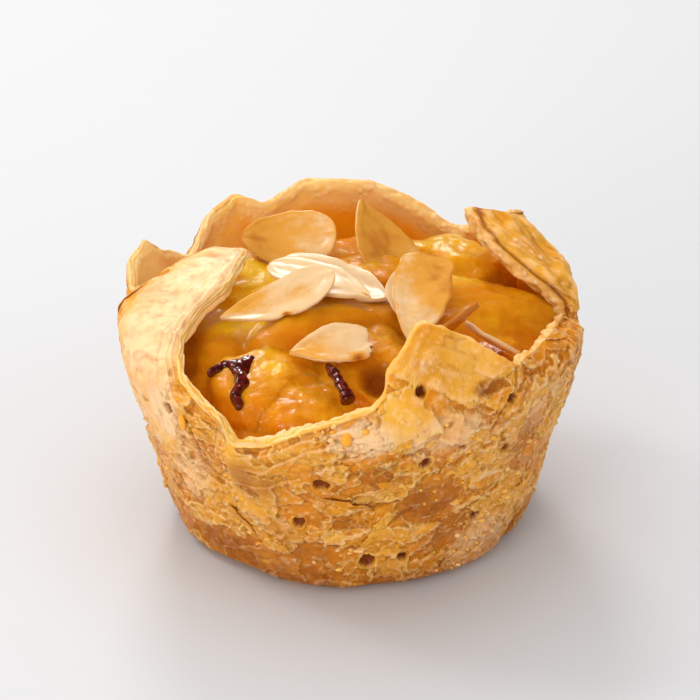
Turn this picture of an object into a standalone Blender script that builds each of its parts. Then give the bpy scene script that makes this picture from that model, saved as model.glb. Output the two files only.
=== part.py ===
"""A muffin-sized apple pie: a square of flaky pastry pressed into a tin, filled with cooked apple.

The pastry is one sheet. Its floor and wall are turned, and its free edge follows a rim line that
stands up at the sheet's corners, dips between them, and folds inwards over the apple. The apple is a
core with its pieces fused on. Almond slices and two dark curls of peel lie sunk in it.

Lengths are in millimetres and angles in degrees, counted from +X towards +Y; the front faces -Y.
The origin is the middle of the flat underside, and +Z is up.
"""

import math

import bmesh
import bpy
import numpy as np
from mathutils import Euler, Matrix, Vector, noise

MM = 0.001

# The tin: what shapes the floor and the wall.
FLOOR_RADIUS = 28.6
FLOOR_FLAT_RADIUS = 25.4
WALL_FLARE = 0.272
ROOT_HEIGHT = 23.0
OUT_OF_ROUND = 0.35

# The pastry.
WALL = 2.7
EDGE = 2.5
EDGE_PEEL = 0.35
FIT_GAP = 0.5
FLAKE_STEP = 0.6
BLISTER = 0.45

# The rim, as the cut edge of the square sheet: where each stretch is rooted round the wall, where
# its edge is in space (turn, radius, height), and how sharply it folds over, from 0 to 1.
RIM = (
    # root, turn, radius, height, fold
    (4.0, 4.0, 34.9, 33.6, 0.80),      # right notch
    (9.0, 6.6, 34.6, 35.4, 0.95),      # right corner, its near edge
    (14.0, 8.5, 31.8, 37.8, 1.05),
    (18.0, 12.0, 28.4, 40.2, 0.90),
    (22.0, 19.5, 25.0, 43.2, 0.70),
    (26.0, 29.5, 24.0, 45.2, 0.60),
    (29.5, 38.0, 24.8, 46.9, 0.55),    # right corner, its tip
    (34.0, 37.5, 29.9, 43.5, 0.75),
    (38.5, 38.5, 36.8, 41.8, 0.75),    # pleat behind the right corner
    (44.0, 44.0, 37.4, 39.8, 0.60),
    (50.0, 50.0, 36.8, 37.2, 0.50),
    (60.0, 60.0, 36.0, 34.2, 0.45),
    (74.0, 74.5, 36.4, 38.3, 0.45),
    (85.0, 85.0, 36.6, 40.6, 0.45),    # back corner, blunt
    (104.0, 104.0, 36.6, 41.2, 0.45),
    (115.0, 115.0, 35.6, 38.4, 0.45),
    (122.0, 122.5, 37.6, 40.4, 0.50),  # back pleat
    (131.0, 131.0, 37.4, 38.4, 0.50),
    (141.0, 141.0, 35.4, 33.8, 0.40),  # notch behind the left corner
    (149.0, 149.5, 37.2, 36.2, 0.45),
    (157.0, 157.0, 38.0, 40.2, 0.50),  # left pleat
    (165.0, 165.5, 38.1, 39.0, 0.50),
    (174.0, 171.0, 36.8, 35.6, 0.60),
    (179.0, 171.0, 33.0, 38.6, 0.80),  # left corner, its far edge
    (184.0, 164.5, 29.0, 41.0, 0.65),
    (189.0, 158.5, 24.6, 42.6, 0.55),
    (194.0, 155.5, 19.6, 42.8, 0.55),  # left corner, its tip
    (201.0, 187.0, 21.0, 41.6, 0.60),
    (208.0, 197.5, 26.4, 40.2, 0.68),
    (215.0, 208.0, 31.4, 38.2, 0.68),
    (222.0, 218.5, 35.4, 35.6, 0.55),
    (229.0, 229.0, 36.4, 33.4, 0.45),
    (235.5, 235.5, 36.8, 32.0, 0.45),  # the front seam, its high side
    (239.5, 239.5, 37.2, 28.8, 0.45),  # the front seam, its low side
    (247.5, 247.5, 36.9, 29.6, 0.45),
    (258.0, 258.0, 36.8, 33.4, 0.45),
    (268.0, 268.0, 36.6, 35.8, 0.45),
    (275.5, 275.5, 36.2, 37.6, 0.45),  # front corner, its left edge
    (279.0, 278.5, 35.0, 39.6, 0.40),
    (282.0, 279.2, 34.0, 42.2, 0.35),
    (285.0, 282.0, 33.0, 44.2, 0.35),
    (288.0, 286.0, 31.2, 45.6, 0.32),
    (290.5, 289.0, 29.3, 47.0, 0.30),
    (293.0, 292.5, 28.6, 47.8, 0.30),  # front corner, its tip
    (297.0, 297.5, 30.2, 47.0, 0.30),
    (302.0, 302.5, 31.6, 45.5, 0.32),
    (308.0, 308.5, 35.0, 43.0, 0.36),
    (313.0, 313.0, 36.8, 40.6, 0.45),
    (315.5, 315.5, 36.9, 39.8, 0.45),  # the overlap beside the front corner
    (318.5, 319.5, 34.6, 38.6, 0.70),
    (328.0, 329.5, 33.9, 38.2, 0.80),
    (341.0, 341.0, 33.6, 37.4, 0.85),
    (353.0, 352.5, 33.5, 36.1, 0.85),
)
RIM_EASE = 0.8
UPRIGHT_KNEE = 0.42
KNEE_RADIUS = 37.7
KNEE_WEIGHT = 3.0
KNEE_REACH = 0.08

# Where a fold of pastry laps over its neighbour: turn, step, and the height at which it fades out.
LAPS = ((237.5, 0.9, 15.0), (316.0, -0.8, 27.0), (176.0, 0.7, 20.0), (119.0, 0.7, 18.0))
LAP_RAMP = 1.6
LAP_TAIL = 26.0

# The fork's prick holes: the turn they are rooted at, and their height.
PRICKS = (
    (255.1, 15.2), (262.2, 23.8), (288.6, 27.4), (288.0, 40.0), (311.6, 35.3), (312.9, 25.0),
    (298.1, 28.7), (308.4, 12.0), (274.3, 6.8), (284.8, 7.4), (219.1, 31.0), (268.5, 33.4),
    (350.0, 17.0), (20.0, 25.0), (52.0, 12.0), (84.0, 24.0), (112.0, 14.0), (146.0, 22.0),
    (190.0, 12.0),
)
PRICK_RADIUS = 1.15
PRICK_DEPTH = 1.5

# The apple: the core that fills the pastry, and the pieces on it (middle, size, turn, dip, lean).
CORE_TOP = 28.0
CORE_CROWN = 6.0
APPLE_PIECES = (
    ((-22.0, -8.0, 28.0), (20, 24, 14), -8, 0, 6),
    ((-13.5, -17.5, 29.0), (18, 16, 13), 30, 4, 12),
    ((-4.0, -4.5, 32.5), (28, 17, 14), 8, 0, 4),
    ((4.5, -14.0, 30.5), (20, 18, 13), 50, 6, 8),
    ((-5.5, -23.0, 28.0), (20, 14, 12), -8, 4, 14),
    ((22.5, -1.0, 32.0), (23, 22, 11), -6, 19, 0),
    ((-1.0, 20.0, 31.0), (24, 18, 13), 0, 0, -4),
    ((15.5, 19.0, 31.0), (24, 17, 14), 140, 0, 4),
    ((-17.5, 9.0, 32.0), (20, 18, 13), 40, 0, 0),
    ((2.0, 6.5, 33.0), (24, 18, 14), 20, 0, 0),
    ((15.0, -18.5, 30.5), (20, 14, 13), 35, 0, 4),
    ((21.5, -12.5, 29.5), (16, 15, 13), 60, 0, 0),
    ((-7.0, -27.0, 24.0), (16, 10, 9), -15, 0, 8),
)
APPLE_SQUARENESS = 2.7
APPLE_LUMP = 0.07

# The almond slices, each from its blunt end to its pointed end: both ends, the width, the roll about
# the line between them, the bow along it, and how much of the blunt half is left.
ALMOND_THICKNESS = 1.15
ALMOND_SLICES = {
    "almond_slice_back_left": ((-2.6, 14.9, 41.2), (-18.2, 15.2, 40.6), 10.6, -32, 0.9, 1.00),
    "almond_slice_left": ((-2.8, -3.3, 43.8), (-21.0, -8.5, 38.4), 7.8, -20, 0.7, 1.00),
    "almond_slice_middle": ((-13.6, 5.7, 41.1), (3.0, -5.5, 40.9), 8.0, 6, -0.3, 1.00),
    "almond_slice_under_middle": ((-11.2, 9.3, 39.8), (5.8, -2.6, 38.4), 9.4, 12, 0.4, 1.00),
    "almond_slice_front": ((3.9, -14.9, 38.1), (-10.0, -16.6, 37.4), 7.8, -22, -0.5, 0.80),
    "almond_slice_back_right": ((8.6, 9.2, 37.0), (0.8, 17.0, 46.6), 11.2, 0, 0.8, 1.00),
    "almond_slice_right": ((12.2, 1.3, 44.9), (9.4, -14.8, 37.5), 9.6, -6, 0.3, 1.00),
    "almond_slice_under_right": ((9.6, 2.5, 42.5), (8.9, -8.5, 37.8), 7.8, -4, 0.2, 1.00),
    "almond_slice_toasted": ((9.0, -18.8, 38.3), (20.0, -12.4, 43.3), 4.6, -40, 0.3, 1.00),
    "almond_slice_edge": ((17.9, -10.8, 39.0), (26.0, -18.0, 37.5), 5.4, -42, 0.3, 1.00),
}
ALMOND_SIDES = 16

# The dark curls of peel: joints (place, radius) and the links between them.
PEEL_CURLS = {
    "dark_peel_left": (
        (((-23.2, -18.2, 32.6), 0.7), ((-20.2, -17.2, 33.9), 0.9), ((-17.6, -18.4, 34.3), 1.4),
         ((-15.7, -15.4, 35.0), 1.2), ((-17.1, -22.4, 33.7), 1.4), ((-18.4, -24.3, 33.0), 1.2),
         ((-17.4, -26.4, 31.8), 0.7)),
        ((0, 1), (1, 2), (2, 3), (2, 4), (4, 5), (5, 6)),
    ),
    "dark_peel_right": (
        (((-4.1, -18.4, 35.5), 0.7), ((-3.0, -20.8, 35.3), 0.9), ((-2.0, -23.2, 34.7), 1.0),
         ((-1.0, -26.0, 34.0), 1.2), ((-0.4, -27.2, 33.5), 1.6)),
        ((0, 1), (1, 2), (2, 3), (3, 4)),
    ),
}

# How finely the solids are cut.
PASTRY_SPOKES = 120
CORE_SPOKES = 48
CLOSE_BOOLEAN = "EXACT"


def clear_scene():
    """Leaves an empty scene."""
    for obj in list(bpy.data.objects):
        bpy.data.objects.remove(obj, do_unlink=True)


def material(name, colour, roughness):
    """A plain food finish: colour in linear red, green and blue."""
    made = bpy.data.materials.new(name)
    made.use_nodes = True
    shader = made.node_tree.nodes["Principled BSDF"]
    shader.inputs["Base Color"].default_value = (*colour, 1.0)
    shader.inputs["Roughness"].default_value = roughness
    shader.inputs["Metallic"].default_value = 0.0
    return made


def add_object(name, mesh, finish):
    """Places a mesh in the scene as the named piece, shaded smooth."""
    mesh.name = name
    mesh.materials.append(finish)
    mesh.shade_smooth()
    obj = bpy.data.objects.new(name, mesh)
    bpy.context.scene.collection.objects.link(obj)
    return obj


def mesh_of_rings(rings, floor_point, top_point):
    """A closed mesh: rings of points (count, spokes, 3) in millimetres, capped by a fan at each end."""
    made = bmesh.new()
    rows = [[made.verts.new(Vector(point) * MM) for point in ring] for ring in rings]
    spokes = len(rows[0])
    for low, high in zip(rows, rows[1:]):
        for i in range(spokes):
            j = (i + 1) % spokes
            made.faces.new((low[i], low[j], high[j], high[i]))
    for row, point, outward in ((rows[0], floor_point, False), (rows[-1], top_point, True)):
        middle = made.verts.new(Vector(point) * MM)
        for i in range(spokes):
            j = (i + 1) % spokes
            made.faces.new((row[i], row[j], middle) if outward else (row[j], row[i], middle))
    bmesh.ops.recalc_face_normals(made, faces=made.faces)
    mesh = bpy.data.meshes.new("rings")
    made.to_mesh(mesh)
    made.free()
    return mesh


def apply_boolean(obj, tools, operation):
    """Joins the tools to obj, or cuts obj with them, in one step, and removes them."""
    held = bpy.data.collections.new("tools of " + obj.name)
    bpy.context.scene.collection.children.link(held)
    for tool in tools:
        bpy.context.scene.collection.objects.unlink(tool)
        held.objects.link(tool)
    modifier = obj.modifiers.new("join", "BOOLEAN")
    modifier.operation = operation
    modifier.operand_type = "COLLECTION"
    modifier.collection = held
    modifier.solver = CLOSE_BOOLEAN
    graph = bpy.context.evaluated_depsgraph_get()
    joined = bpy.data.meshes.new_from_object(obj.evaluated_get(graph))
    obj.modifiers.clear()
    obj.data = joined
    for tool in tools:
        bpy.data.objects.remove(tool, do_unlink=True)
    bpy.data.collections.remove(held)


def smooth_step(low, high, value):
    """0 below low, 1 above high, and an even ramp between."""
    share = np.clip((value - low) / (high - low), 0.0, 1.0)
    return share * share * (3.0 - 2.0 * share)


def turned(turn, radius, height):
    """The points at these turns, radii and heights."""
    angle = np.radians(turn)
    return np.stack([radius * np.cos(angle), radius * np.sin(angle), height + 0.0 * angle], axis=-1)


def rim_line(roots):
    """The rim's points and folds above these roots: straight cut edges, eased at their ends."""
    table = np.array(RIM)
    corners = np.column_stack([turned(table[:, 1], table[:, 2], table[:, 3]), table[:, 4]])
    eased = np.zeros((len(roots), 4))
    spread = np.linspace(-2.0, 2.0, 9)
    weights = np.exp(-0.5 * spread**2)
    for shift, weight in zip(spread * RIM_EASE, weights / weights.sum()):
        for column in range(4):
            eased[:, column] += weight * np.interp(
                np.asarray(roots) + shift, table[:, 0], corners[:, column], period=360.0
            )
    return eased[:, :3], eased[:, 3]


def lap_step(turn, height):
    """How far a fold that laps over its neighbour stands out of the wall."""
    out = np.zeros(np.broadcast(turn, height).shape)
    for lap, step, foot in LAPS:
        away = (turn - lap + 180.0) % 360.0 - 180.0
        edge = smooth_step(-LAP_RAMP / 2, LAP_RAMP / 2, away)
        fade = np.clip(1.0 - np.abs(away) / LAP_TAIL, 0.0, 1.0)
        rise = smooth_step(foot - 4.0, foot + 8.0, height)
        out += step * rise * fade * (edge - 0.5)
    return out


def wall_radius(turn, height):
    """The outside of the wall, before its flakes."""
    angle = np.radians(turn)
    wobble = OUT_OF_ROUND * (np.cos(2 * angle - 0.6) + 0.7 * np.sin(3 * angle + 0.4))
    share = np.clip(height / ROOT_HEIGHT, 0.0, 1.0)
    return FLOOR_RADIUS + WALL_FLARE * height + share * wobble + lap_step(turn, height)


def pastry_rings(turns, inset, floor_rows, wall_rows, free_rows):
    """Rings of the pastry's outer face, from the floor up to the rim, each moved in by inset."""
    turns = np.asarray(turns, float)
    flat = max(FLOOR_FLAT_RADIUS - inset, 1.0)
    corner = FLOOR_RADIUS - FLOOR_FLAT_RADIUS
    rings = []
    for share in floor_rows:
        rings.append(turned(turns, np.full(len(turns), flat * share), 0.0))
    for share in np.linspace(0.0, 1.0, 4)[1:]:
        bend = share * math.radians(68.0)
        radius = wall_radius(turns, 0.0) - corner * (1.0 - math.sin(bend))
        rings.append(turned(turns, radius, corner * (1.0 - math.cos(bend)) * 0.8))
    start = corner * (1.0 - math.cos(math.radians(68.0))) * 0.8
    for share in wall_rows:
        height = start + (ROOT_HEIGHT - start) * share
        rings.append(turned(turns, wall_radius(turns, height), height))
    edge, fold = rim_line(turns)
    root = rings[-1]
    knee_turn = turns
    knee_height = ROOT_HEIGHT + (edge[:, 2] - ROOT_HEIGHT) * (
        UPRIGHT_KNEE + (0.96 - UPRIGHT_KNEE) * fold
    )
    knee_radius = np.minimum(KNEE_RADIUS, wall_radius(turns, knee_height))
    knee_radius += lap_step(turns, knee_height)
    knee_radius += KNEE_REACH * (KNEE_RADIUS - np.hypot(edge[:, 0], edge[:, 1]))
    knee = turned(knee_turn, knee_radius, knee_height)
    for share in free_rows:
        pull = ((1 - share) ** 2, 2 * KNEE_WEIGHT * share * (1 - share), share**2)
        rings.append((pull[0] * root + pull[1] * knee + pull[2] * edge) / sum(pull))
    return np.array(rings)


def ring_normals(rings):
    """The outward direction at each point of a stack of rings."""
    along = np.gradient(rings, axis=0)
    around = np.roll(rings, -1, axis=1) - np.roll(rings, 1, axis=1)
    normals = np.cross(around, along)
    normals /= np.maximum(np.linalg.norm(normals, axis=-1, keepdims=True), 1e-9)
    for _ in range(5):
        normals = (np.roll(normals, 1, axis=1) + 2 * normals + np.roll(normals, -1, axis=1)) / 4
    return normals / np.maximum(np.linalg.norm(normals, axis=-1, keepdims=True), 1e-9)


def flake_relief(point):
    """How proud the skin stands at a point of the outer face: broken flakes and soft blisters."""
    place = Vector((point[0] * 0.13, point[1] * 0.13, point[2] * 0.19))
    torn = noise.fractal(place * 1.6, 0.8, 2.2, 4)
    blister = noise.noise(place * 0.9 + Vector((7.0, 3.0, 5.0)))
    skin = min(max((torn + 0.12) / 0.12, 0.0), 1.0)
    return FLAKE_STEP * (skin - 0.5) + BLISTER * blister


def build_pastry(finish):
    """The pastry case: one solid, its floor, wall, folded rim and prick holes."""
    turns = np.arange(PASTRY_SPOKES) * 360.0 / PASTRY_SPOKES
    outer = pastry_rings(
        turns, 0.0, (1.0,), np.linspace(0, 1, 8)[1:], np.linspace(0, 1, 9)[1:]
    )
    normals = ring_normals(outer)
    inner = outer - normals * WALL
    rim_out, rim_in = outer[-1], outer[-1] - normals[-1] * EDGE
    reach = outer[-1] - outer[-2]
    reach /= np.linalg.norm(reach, axis=-1, keepdims=True)
    edge = [
        rim_out + (rim_in - rim_out) * share + reach * proud * EDGE_PEEL
        for share, proud in ((0.25, 1.0), (0.5, -0.4), (0.75, 1.0))
    ]
    relief = np.array([[flake_relief(point) for point in ring] for ring in outer])
    relief *= smooth_step(0.6, 4.0, outer[:, :, 2])
    shell = outer + normals * relief[:, :, None]
    floor_rows = 4
    inner_rows = [inner[row] for row in (18, 15, 13, 11, 9, 7, 5)]
    inner_rows[0] = rim_in + (inner[18] - rim_in) * 0.5
    foot = inner[floor_rows].copy()
    foot_turns = np.degrees(np.arctan2(foot[:, 1], foot[:, 0]))
    foot = turned(foot_turns, wall_radius(foot_turns, 3.0) - WALL - 1.0, WALL)
    rings = [*shell, *edge, rim_in, *inner_rows, foot]
    pastry = add_object(
        "pastry_case", mesh_of_rings(rings, (0, 0, 0), (0, 0, WALL)), finish
    )
    apply_boolean(pastry, [prick_cutter(*prick) for prick in PRICKS], "DIFFERENCE")
    return pastry


def skin_at(turn, height):
    """The point of the outer face above this root turn at this height, and its outward direction."""
    strip = pastry_rings(
        (turn - 1.0, turn, turn + 1.0), 0.0, (1.0,), np.linspace(0, 1, 30), np.linspace(0, 1, 40)
    )
    row = int(np.argmin(np.abs(strip[:, 1, 2] - height)))
    around = strip[row, 2] - strip[row, 0]
    along = strip[min(row + 2, len(strip) - 1), 1] - strip[row - 2, 1]
    outward = Vector(np.cross(around, along)).normalized()
    return Vector(strip[row, 1]), outward


def prick_cutter(turn, height):
    """The tool for one prick hole, square to the skin and a little narrower at its bottom."""
    length = 2 * PRICK_DEPTH + 2.0
    made = bmesh.new()
    bmesh.ops.create_cone(
        made,
        cap_ends=True,
        segments=8,
        radius1=PRICK_RADIUS * 0.7 * MM,
        radius2=PRICK_RADIUS * 1.25 * MM,
        depth=length * MM,
    )
    place, outward = skin_at(turn, height)
    middle = (place + outward * (length / 2 - PRICK_DEPTH)) * MM
    set_down = Matrix.Translation(middle) @ outward.to_track_quat("Z", "Y").to_matrix().to_4x4()
    bmesh.ops.transform(made, matrix=set_down, verts=made.verts)
    mesh = bpy.data.meshes.new("prick")
    made.to_mesh(mesh)
    made.free()
    tool = bpy.data.objects.new("prick_cutter", mesh)
    bpy.context.scene.collection.objects.link(tool)
    return tool


def cavity_radius(turn, height):
    """How far out the apple may reach at this turn and height."""
    return wall_radius(turn, height) - WALL / math.cos(math.atan(WALL_FLARE)) - FIT_GAP


def apple_core(finish):
    """The apple under the pieces: it fills the pastry, with a low crown."""
    turns = np.arange(CORE_SPOKES) * 360.0 / CORE_SPOKES
    low = WALL + FIT_GAP
    rings = [
        turned(turns, cavity_radius(turns, low) - 3.2, low),
        turned(turns, cavity_radius(turns, low + 2.2) - 0.9, low + 2.2),
    ]
    for height in np.linspace(low + 5.0, CORE_TOP - 1.2, 3):
        rings.append(turned(turns, cavity_radius(turns, height) - 0.2, height))
    for share in (0.97, 0.8, 0.5, 0.2):
        top = CORE_TOP + CORE_CROWN * (1.0 - share**2)
        rings.append(turned(turns, cavity_radius(turns, CORE_TOP - 1.2) * share, top))
    mesh = mesh_of_rings(rings, (0, 0, low), (0, 0, CORE_TOP + CORE_CROWN))
    return add_object("apple_filling", mesh, finish)


def apple_piece(number, middle, size, turn, dip, lean, finish):
    """One cooked piece: a rounded block, uneven, and pressed back where it would cross the pastry."""
    made = bmesh.new()
    bmesh.ops.create_uvsphere(made, u_segments=13, v_segments=8, radius=1.0)
    set_down = Euler(map(math.radians, (lean, dip, turn)), "XYZ").to_matrix()
    for vertex in made.verts:
        unit = vertex.co.normalized()
        length = sum(abs(x) ** APPLE_SQUARENESS for x in unit) ** (-1.0 / APPLE_SQUARENESS)
        uneven = 1.0 + APPLE_LUMP * noise.noise(unit * 1.7 + Vector((number * 3.1, 0, 0)))
        half = Vector([x * s / 2 for x, s in zip(unit * length * uneven, size)])
        place = set_down @ half + Vector(middle)
        out = math.hypot(place.x, place.y)
        around = math.degrees(math.atan2(place.y, place.x))
        most = float(cavity_radius(around, min(place.z, ROOT_HEIGHT + 3.0))) - 0.5
        if out > most:
            place.x *= most / out
            place.y *= most / out
        vertex.co = place * MM
    mesh = bpy.data.meshes.new("piece")
    made.to_mesh(mesh)
    made.free()
    return add_object(f"apple_piece_{number}", mesh, finish)


def almond_outline(share):
    """Half width of a slice at each share of its half length: blunt at -1, pointed at +1."""
    return np.sqrt(np.clip(1.0 - np.abs(share) ** 2.2, 0.0, 1.0)) * (
        1.0 - 0.32 * np.clip(share, 0.0, 1.0) ** 1.5
    )


def almond_mesh(tail, tip, width, roll, bow, kept, swell=0.0):
    """A thin almond slice, closed, laid from tail to tip, with swell added all round it."""
    tail, tip = Vector(tail), Vector(tip)
    along = (tip - tail).normalized()
    side = Vector((0, 0, 1)).cross(along).normalized()
    turn = Matrix.Rotation(math.radians(roll), 3, along)
    side, face = turn @ side, turn @ along.cross(side)
    middle, half_length = (tail + tip) / 2, (tip - tail).length / 2
    angles = np.arange(ALMOND_SIDES) * 2 * math.pi / ALMOND_SIDES
    shares = np.clip(np.cos(angles), -kept, 1.0)
    across = np.where(np.abs(np.sin(angles)) < 1e-6, 0.0, np.sign(np.sin(angles)))
    across *= almond_outline(shares)
    rings = []
    for scale, rise in ((0.72, 0.5), (1.0, 0.22), (1.0, -0.22), (0.72, -0.5)):
        ring = []
        for x, y in zip(shares * scale, across * scale):
            lift = rise * ALMOND_THICKNESS + math.copysign(swell, rise) + bow * (2 * x * x - 1)
            flat = along * x * (half_length + swell) + side * y * (width / 2 + swell)
            ring.append(middle + flat + face * lift)
        rings.append(ring)
    ends = [
        middle + face * (top * (0.5 * ALMOND_THICKNESS + swell) - bow) for top in (1.0, -1.0)
    ]
    return mesh_of_rings(rings, ends[0], ends[1])


def peel_curl(name, joints, links, finish, swell=0.0):
    """A dark curl of peel: a forked strand, thicker at its joints."""
    mesh = bpy.data.meshes.new(name)
    mesh.from_pydata([Vector(place) * MM for place, _ in joints], links, [])
    strand = bpy.data.objects.new(name, mesh)
    bpy.context.scene.collection.objects.link(strand)
    skin = strand.modifiers.new("skin", "SKIN")
    skin.use_smooth_shade = True
    for point, (_, radius) in zip(mesh.skin_vertices[0].data, joints):
        point.radius = ((radius + swell) * MM,) * 2
    round_off = strand.modifiers.new("round off", "SUBSURF")
    round_off.levels = round_off.render_levels = 1
    graph = bpy.context.evaluated_depsgraph_get()
    made = bpy.data.meshes.new_from_object(strand.evaluated_get(graph))
    bpy.data.objects.remove(strand, do_unlink=True)
    return add_object(name, made, finish)


def build_apple(finish):
    """The filling: the core with its pieces fused on, then pockets for what lies sunk in it."""
    filling = apple_core(finish)
    pieces = [
        apple_piece(number, *piece, finish) for number, piece in enumerate(APPLE_PIECES)
    ]
    apply_boolean(filling, pieces, "UNION")
    pockets = []
    for name, shape in ALMOND_SLICES.items():
        mesh = almond_mesh(*shape, swell=FIT_GAP)
        pockets.append(add_object("pocket_" + name, mesh, finish))
    for name, (joints, links) in PEEL_CURLS.items():
        pockets.append(peel_curl("pocket_" + name, joints, links, finish, swell=FIT_GAP))
    apply_boolean(filling, pockets, "DIFFERENCE")
    return filling


def build_almonds(finish):
    """The almond slices, each its own piece."""
    for name, shape in ALMOND_SLICES.items():
        add_object(name, almond_mesh(*shape), finish)


def build_peel(finish):
    """The two dark curls of peel."""
    for name, (joints, links) in PEEL_CURLS.items():
        peel_curl(name, joints, links, finish)


def build_pie():
    """Makes the whole pie."""
    clear_scene()
    build_pastry(material("baked flaky pastry", (0.66, 0.38, 0.13), 0.55))
    build_apple(material("glazed cooked apple", (0.78, 0.36, 0.03), 0.2))
    build_almonds(material("toasted almond", (0.82, 0.62, 0.38), 0.5))
    build_peel(material("dark caramelised peel", (0.07, 0.008, 0.004), 0.25))


build_pie()
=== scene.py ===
"""The looks of a muffin-sized apple pie: baked flaky pastry, glazed cooked apple, toasted almond slices
and dark curls of peel, on a pale floor in soft light.

Lengths are worked out in millimetres and laid down in metres. Turns are degrees from +X towards +Y, and
the front faces -Y.
"""

from __future__ import annotations

import logging
import math
from dataclasses import dataclass, field
from enum import Enum
from itertools import product
from typing import Any

import bpy
import numpy as np
from mathutils import Euler, Matrix, Vector


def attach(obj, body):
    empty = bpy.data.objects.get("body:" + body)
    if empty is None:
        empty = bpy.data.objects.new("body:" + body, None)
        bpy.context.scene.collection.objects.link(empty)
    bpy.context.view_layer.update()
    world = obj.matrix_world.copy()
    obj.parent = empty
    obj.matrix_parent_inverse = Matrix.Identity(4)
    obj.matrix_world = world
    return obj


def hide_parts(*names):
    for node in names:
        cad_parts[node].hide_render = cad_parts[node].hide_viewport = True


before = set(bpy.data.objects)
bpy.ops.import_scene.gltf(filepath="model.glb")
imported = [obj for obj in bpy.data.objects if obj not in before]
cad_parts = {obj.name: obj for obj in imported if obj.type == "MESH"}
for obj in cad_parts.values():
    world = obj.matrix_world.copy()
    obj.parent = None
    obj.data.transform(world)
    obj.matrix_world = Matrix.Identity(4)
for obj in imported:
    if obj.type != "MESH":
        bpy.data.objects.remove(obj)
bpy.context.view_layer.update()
MM = 0.001
# A sheet distance that stands for "well inside an unbroken sheet".
COVERED = 1.5
SHEETS = ("outer", "middle", "inner")
LOG = logging.getLogger("apple pie")


class Node(str, Enum):
    """The shader nodes that the finishes are made of."""

    COORDINATES = "ShaderNodeTexCoord"
    ATTRIBUTE = "ShaderNodeAttribute"
    NOISE = "ShaderNodeTexNoise"
    CELLS = "ShaderNodeTexVoronoi"
    MIX = "ShaderNodeMix"
    MATH = "ShaderNodeMath"
    RANGE = "ShaderNodeMapRange"
    BUMP = "ShaderNodeBump"


# ---------------------------------------------------------------- small tools


def linear(code: str) -> tuple[float, float, float, float]:
    """Turns an sRGB hex colour to linear red, green, blue and a full alpha."""
    parts = [int(code[i : i + 2], 16) / 255.0 for i in (0, 2, 4)]
    curve = [c / 12.92 if c <= 0.04045 else ((c + 0.055) / 1.055) ** 2.4 for c in parts]
    return (*curve, 1.0)


def feed(tree: Any, node: Any, inputs: dict) -> None:
    """Gives each of a node's inputs a constant, or the socket that feeds it."""
    for name, value in inputs.items():
        if isinstance(value, bpy.types.NodeSocket):
            tree.links.new(value, node.inputs[name])
        else:
            node.inputs[name].default_value = value


def add(tree: Any, kind: Node, settings: dict | None = None, inputs: dict | None = None, out: Any = 0) -> Any:
    """Adds one shader node with its settings and links.

    Args:
        tree: the material's node tree.
        kind: which node.
        settings: the node's own properties.
        inputs: by input name or number, a constant or the socket that feeds it.
        out: the output to hand back, by name or number.

    Returns:
        That output socket.
    """
    node = tree.nodes.new(kind.value)
    for name, value in (settings or {}).items():
        setattr(node, name, value)
    feed(tree, node, inputs or {})
    return node.outputs[out]


def clamp(value: Any) -> Any:
    """Keeps a value from 0 to 1."""
    return np.clip(value, 0.0, 1.0)


def smooth_step(low: float, high: float, value: Any) -> Any:
    """Gives 0 below low, 1 above high, and an even ramp between."""
    share = clamp((value - low) / (high - low))
    return share * share * (3.0 - 2.0 * share)


def hump(value: Any, middle: float, width: float) -> Any:
    """Gives a bell: 1 at the middle, and near 0 two widths away."""
    return np.exp(-(((value - middle) / width) ** 2))


def turned(turn: Any, radius: Any, height: Any) -> np.ndarray:
    """Gives the points at these turns, radii and heights."""
    angle = np.radians(turn)
    return np.stack([radius * np.cos(angle), radius * np.sin(angle), height + 0.0 * angle], axis=-1)


def apart(turn: Any, other: float) -> Any:
    """Gives the signed difference between two turns, in degrees."""
    return (turn - other + 180.0) % 360.0 - 180.0


def by_turn(turn: Any, table: tuple, column: int = 1) -> np.ndarray:
    """Reads a column of a table at these turns, straight between its rows and round the circle."""
    rows = np.array(table, float)
    return np.interp(turn % 360.0, rows[:, 0], rows[:, column], period=360.0)


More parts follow.
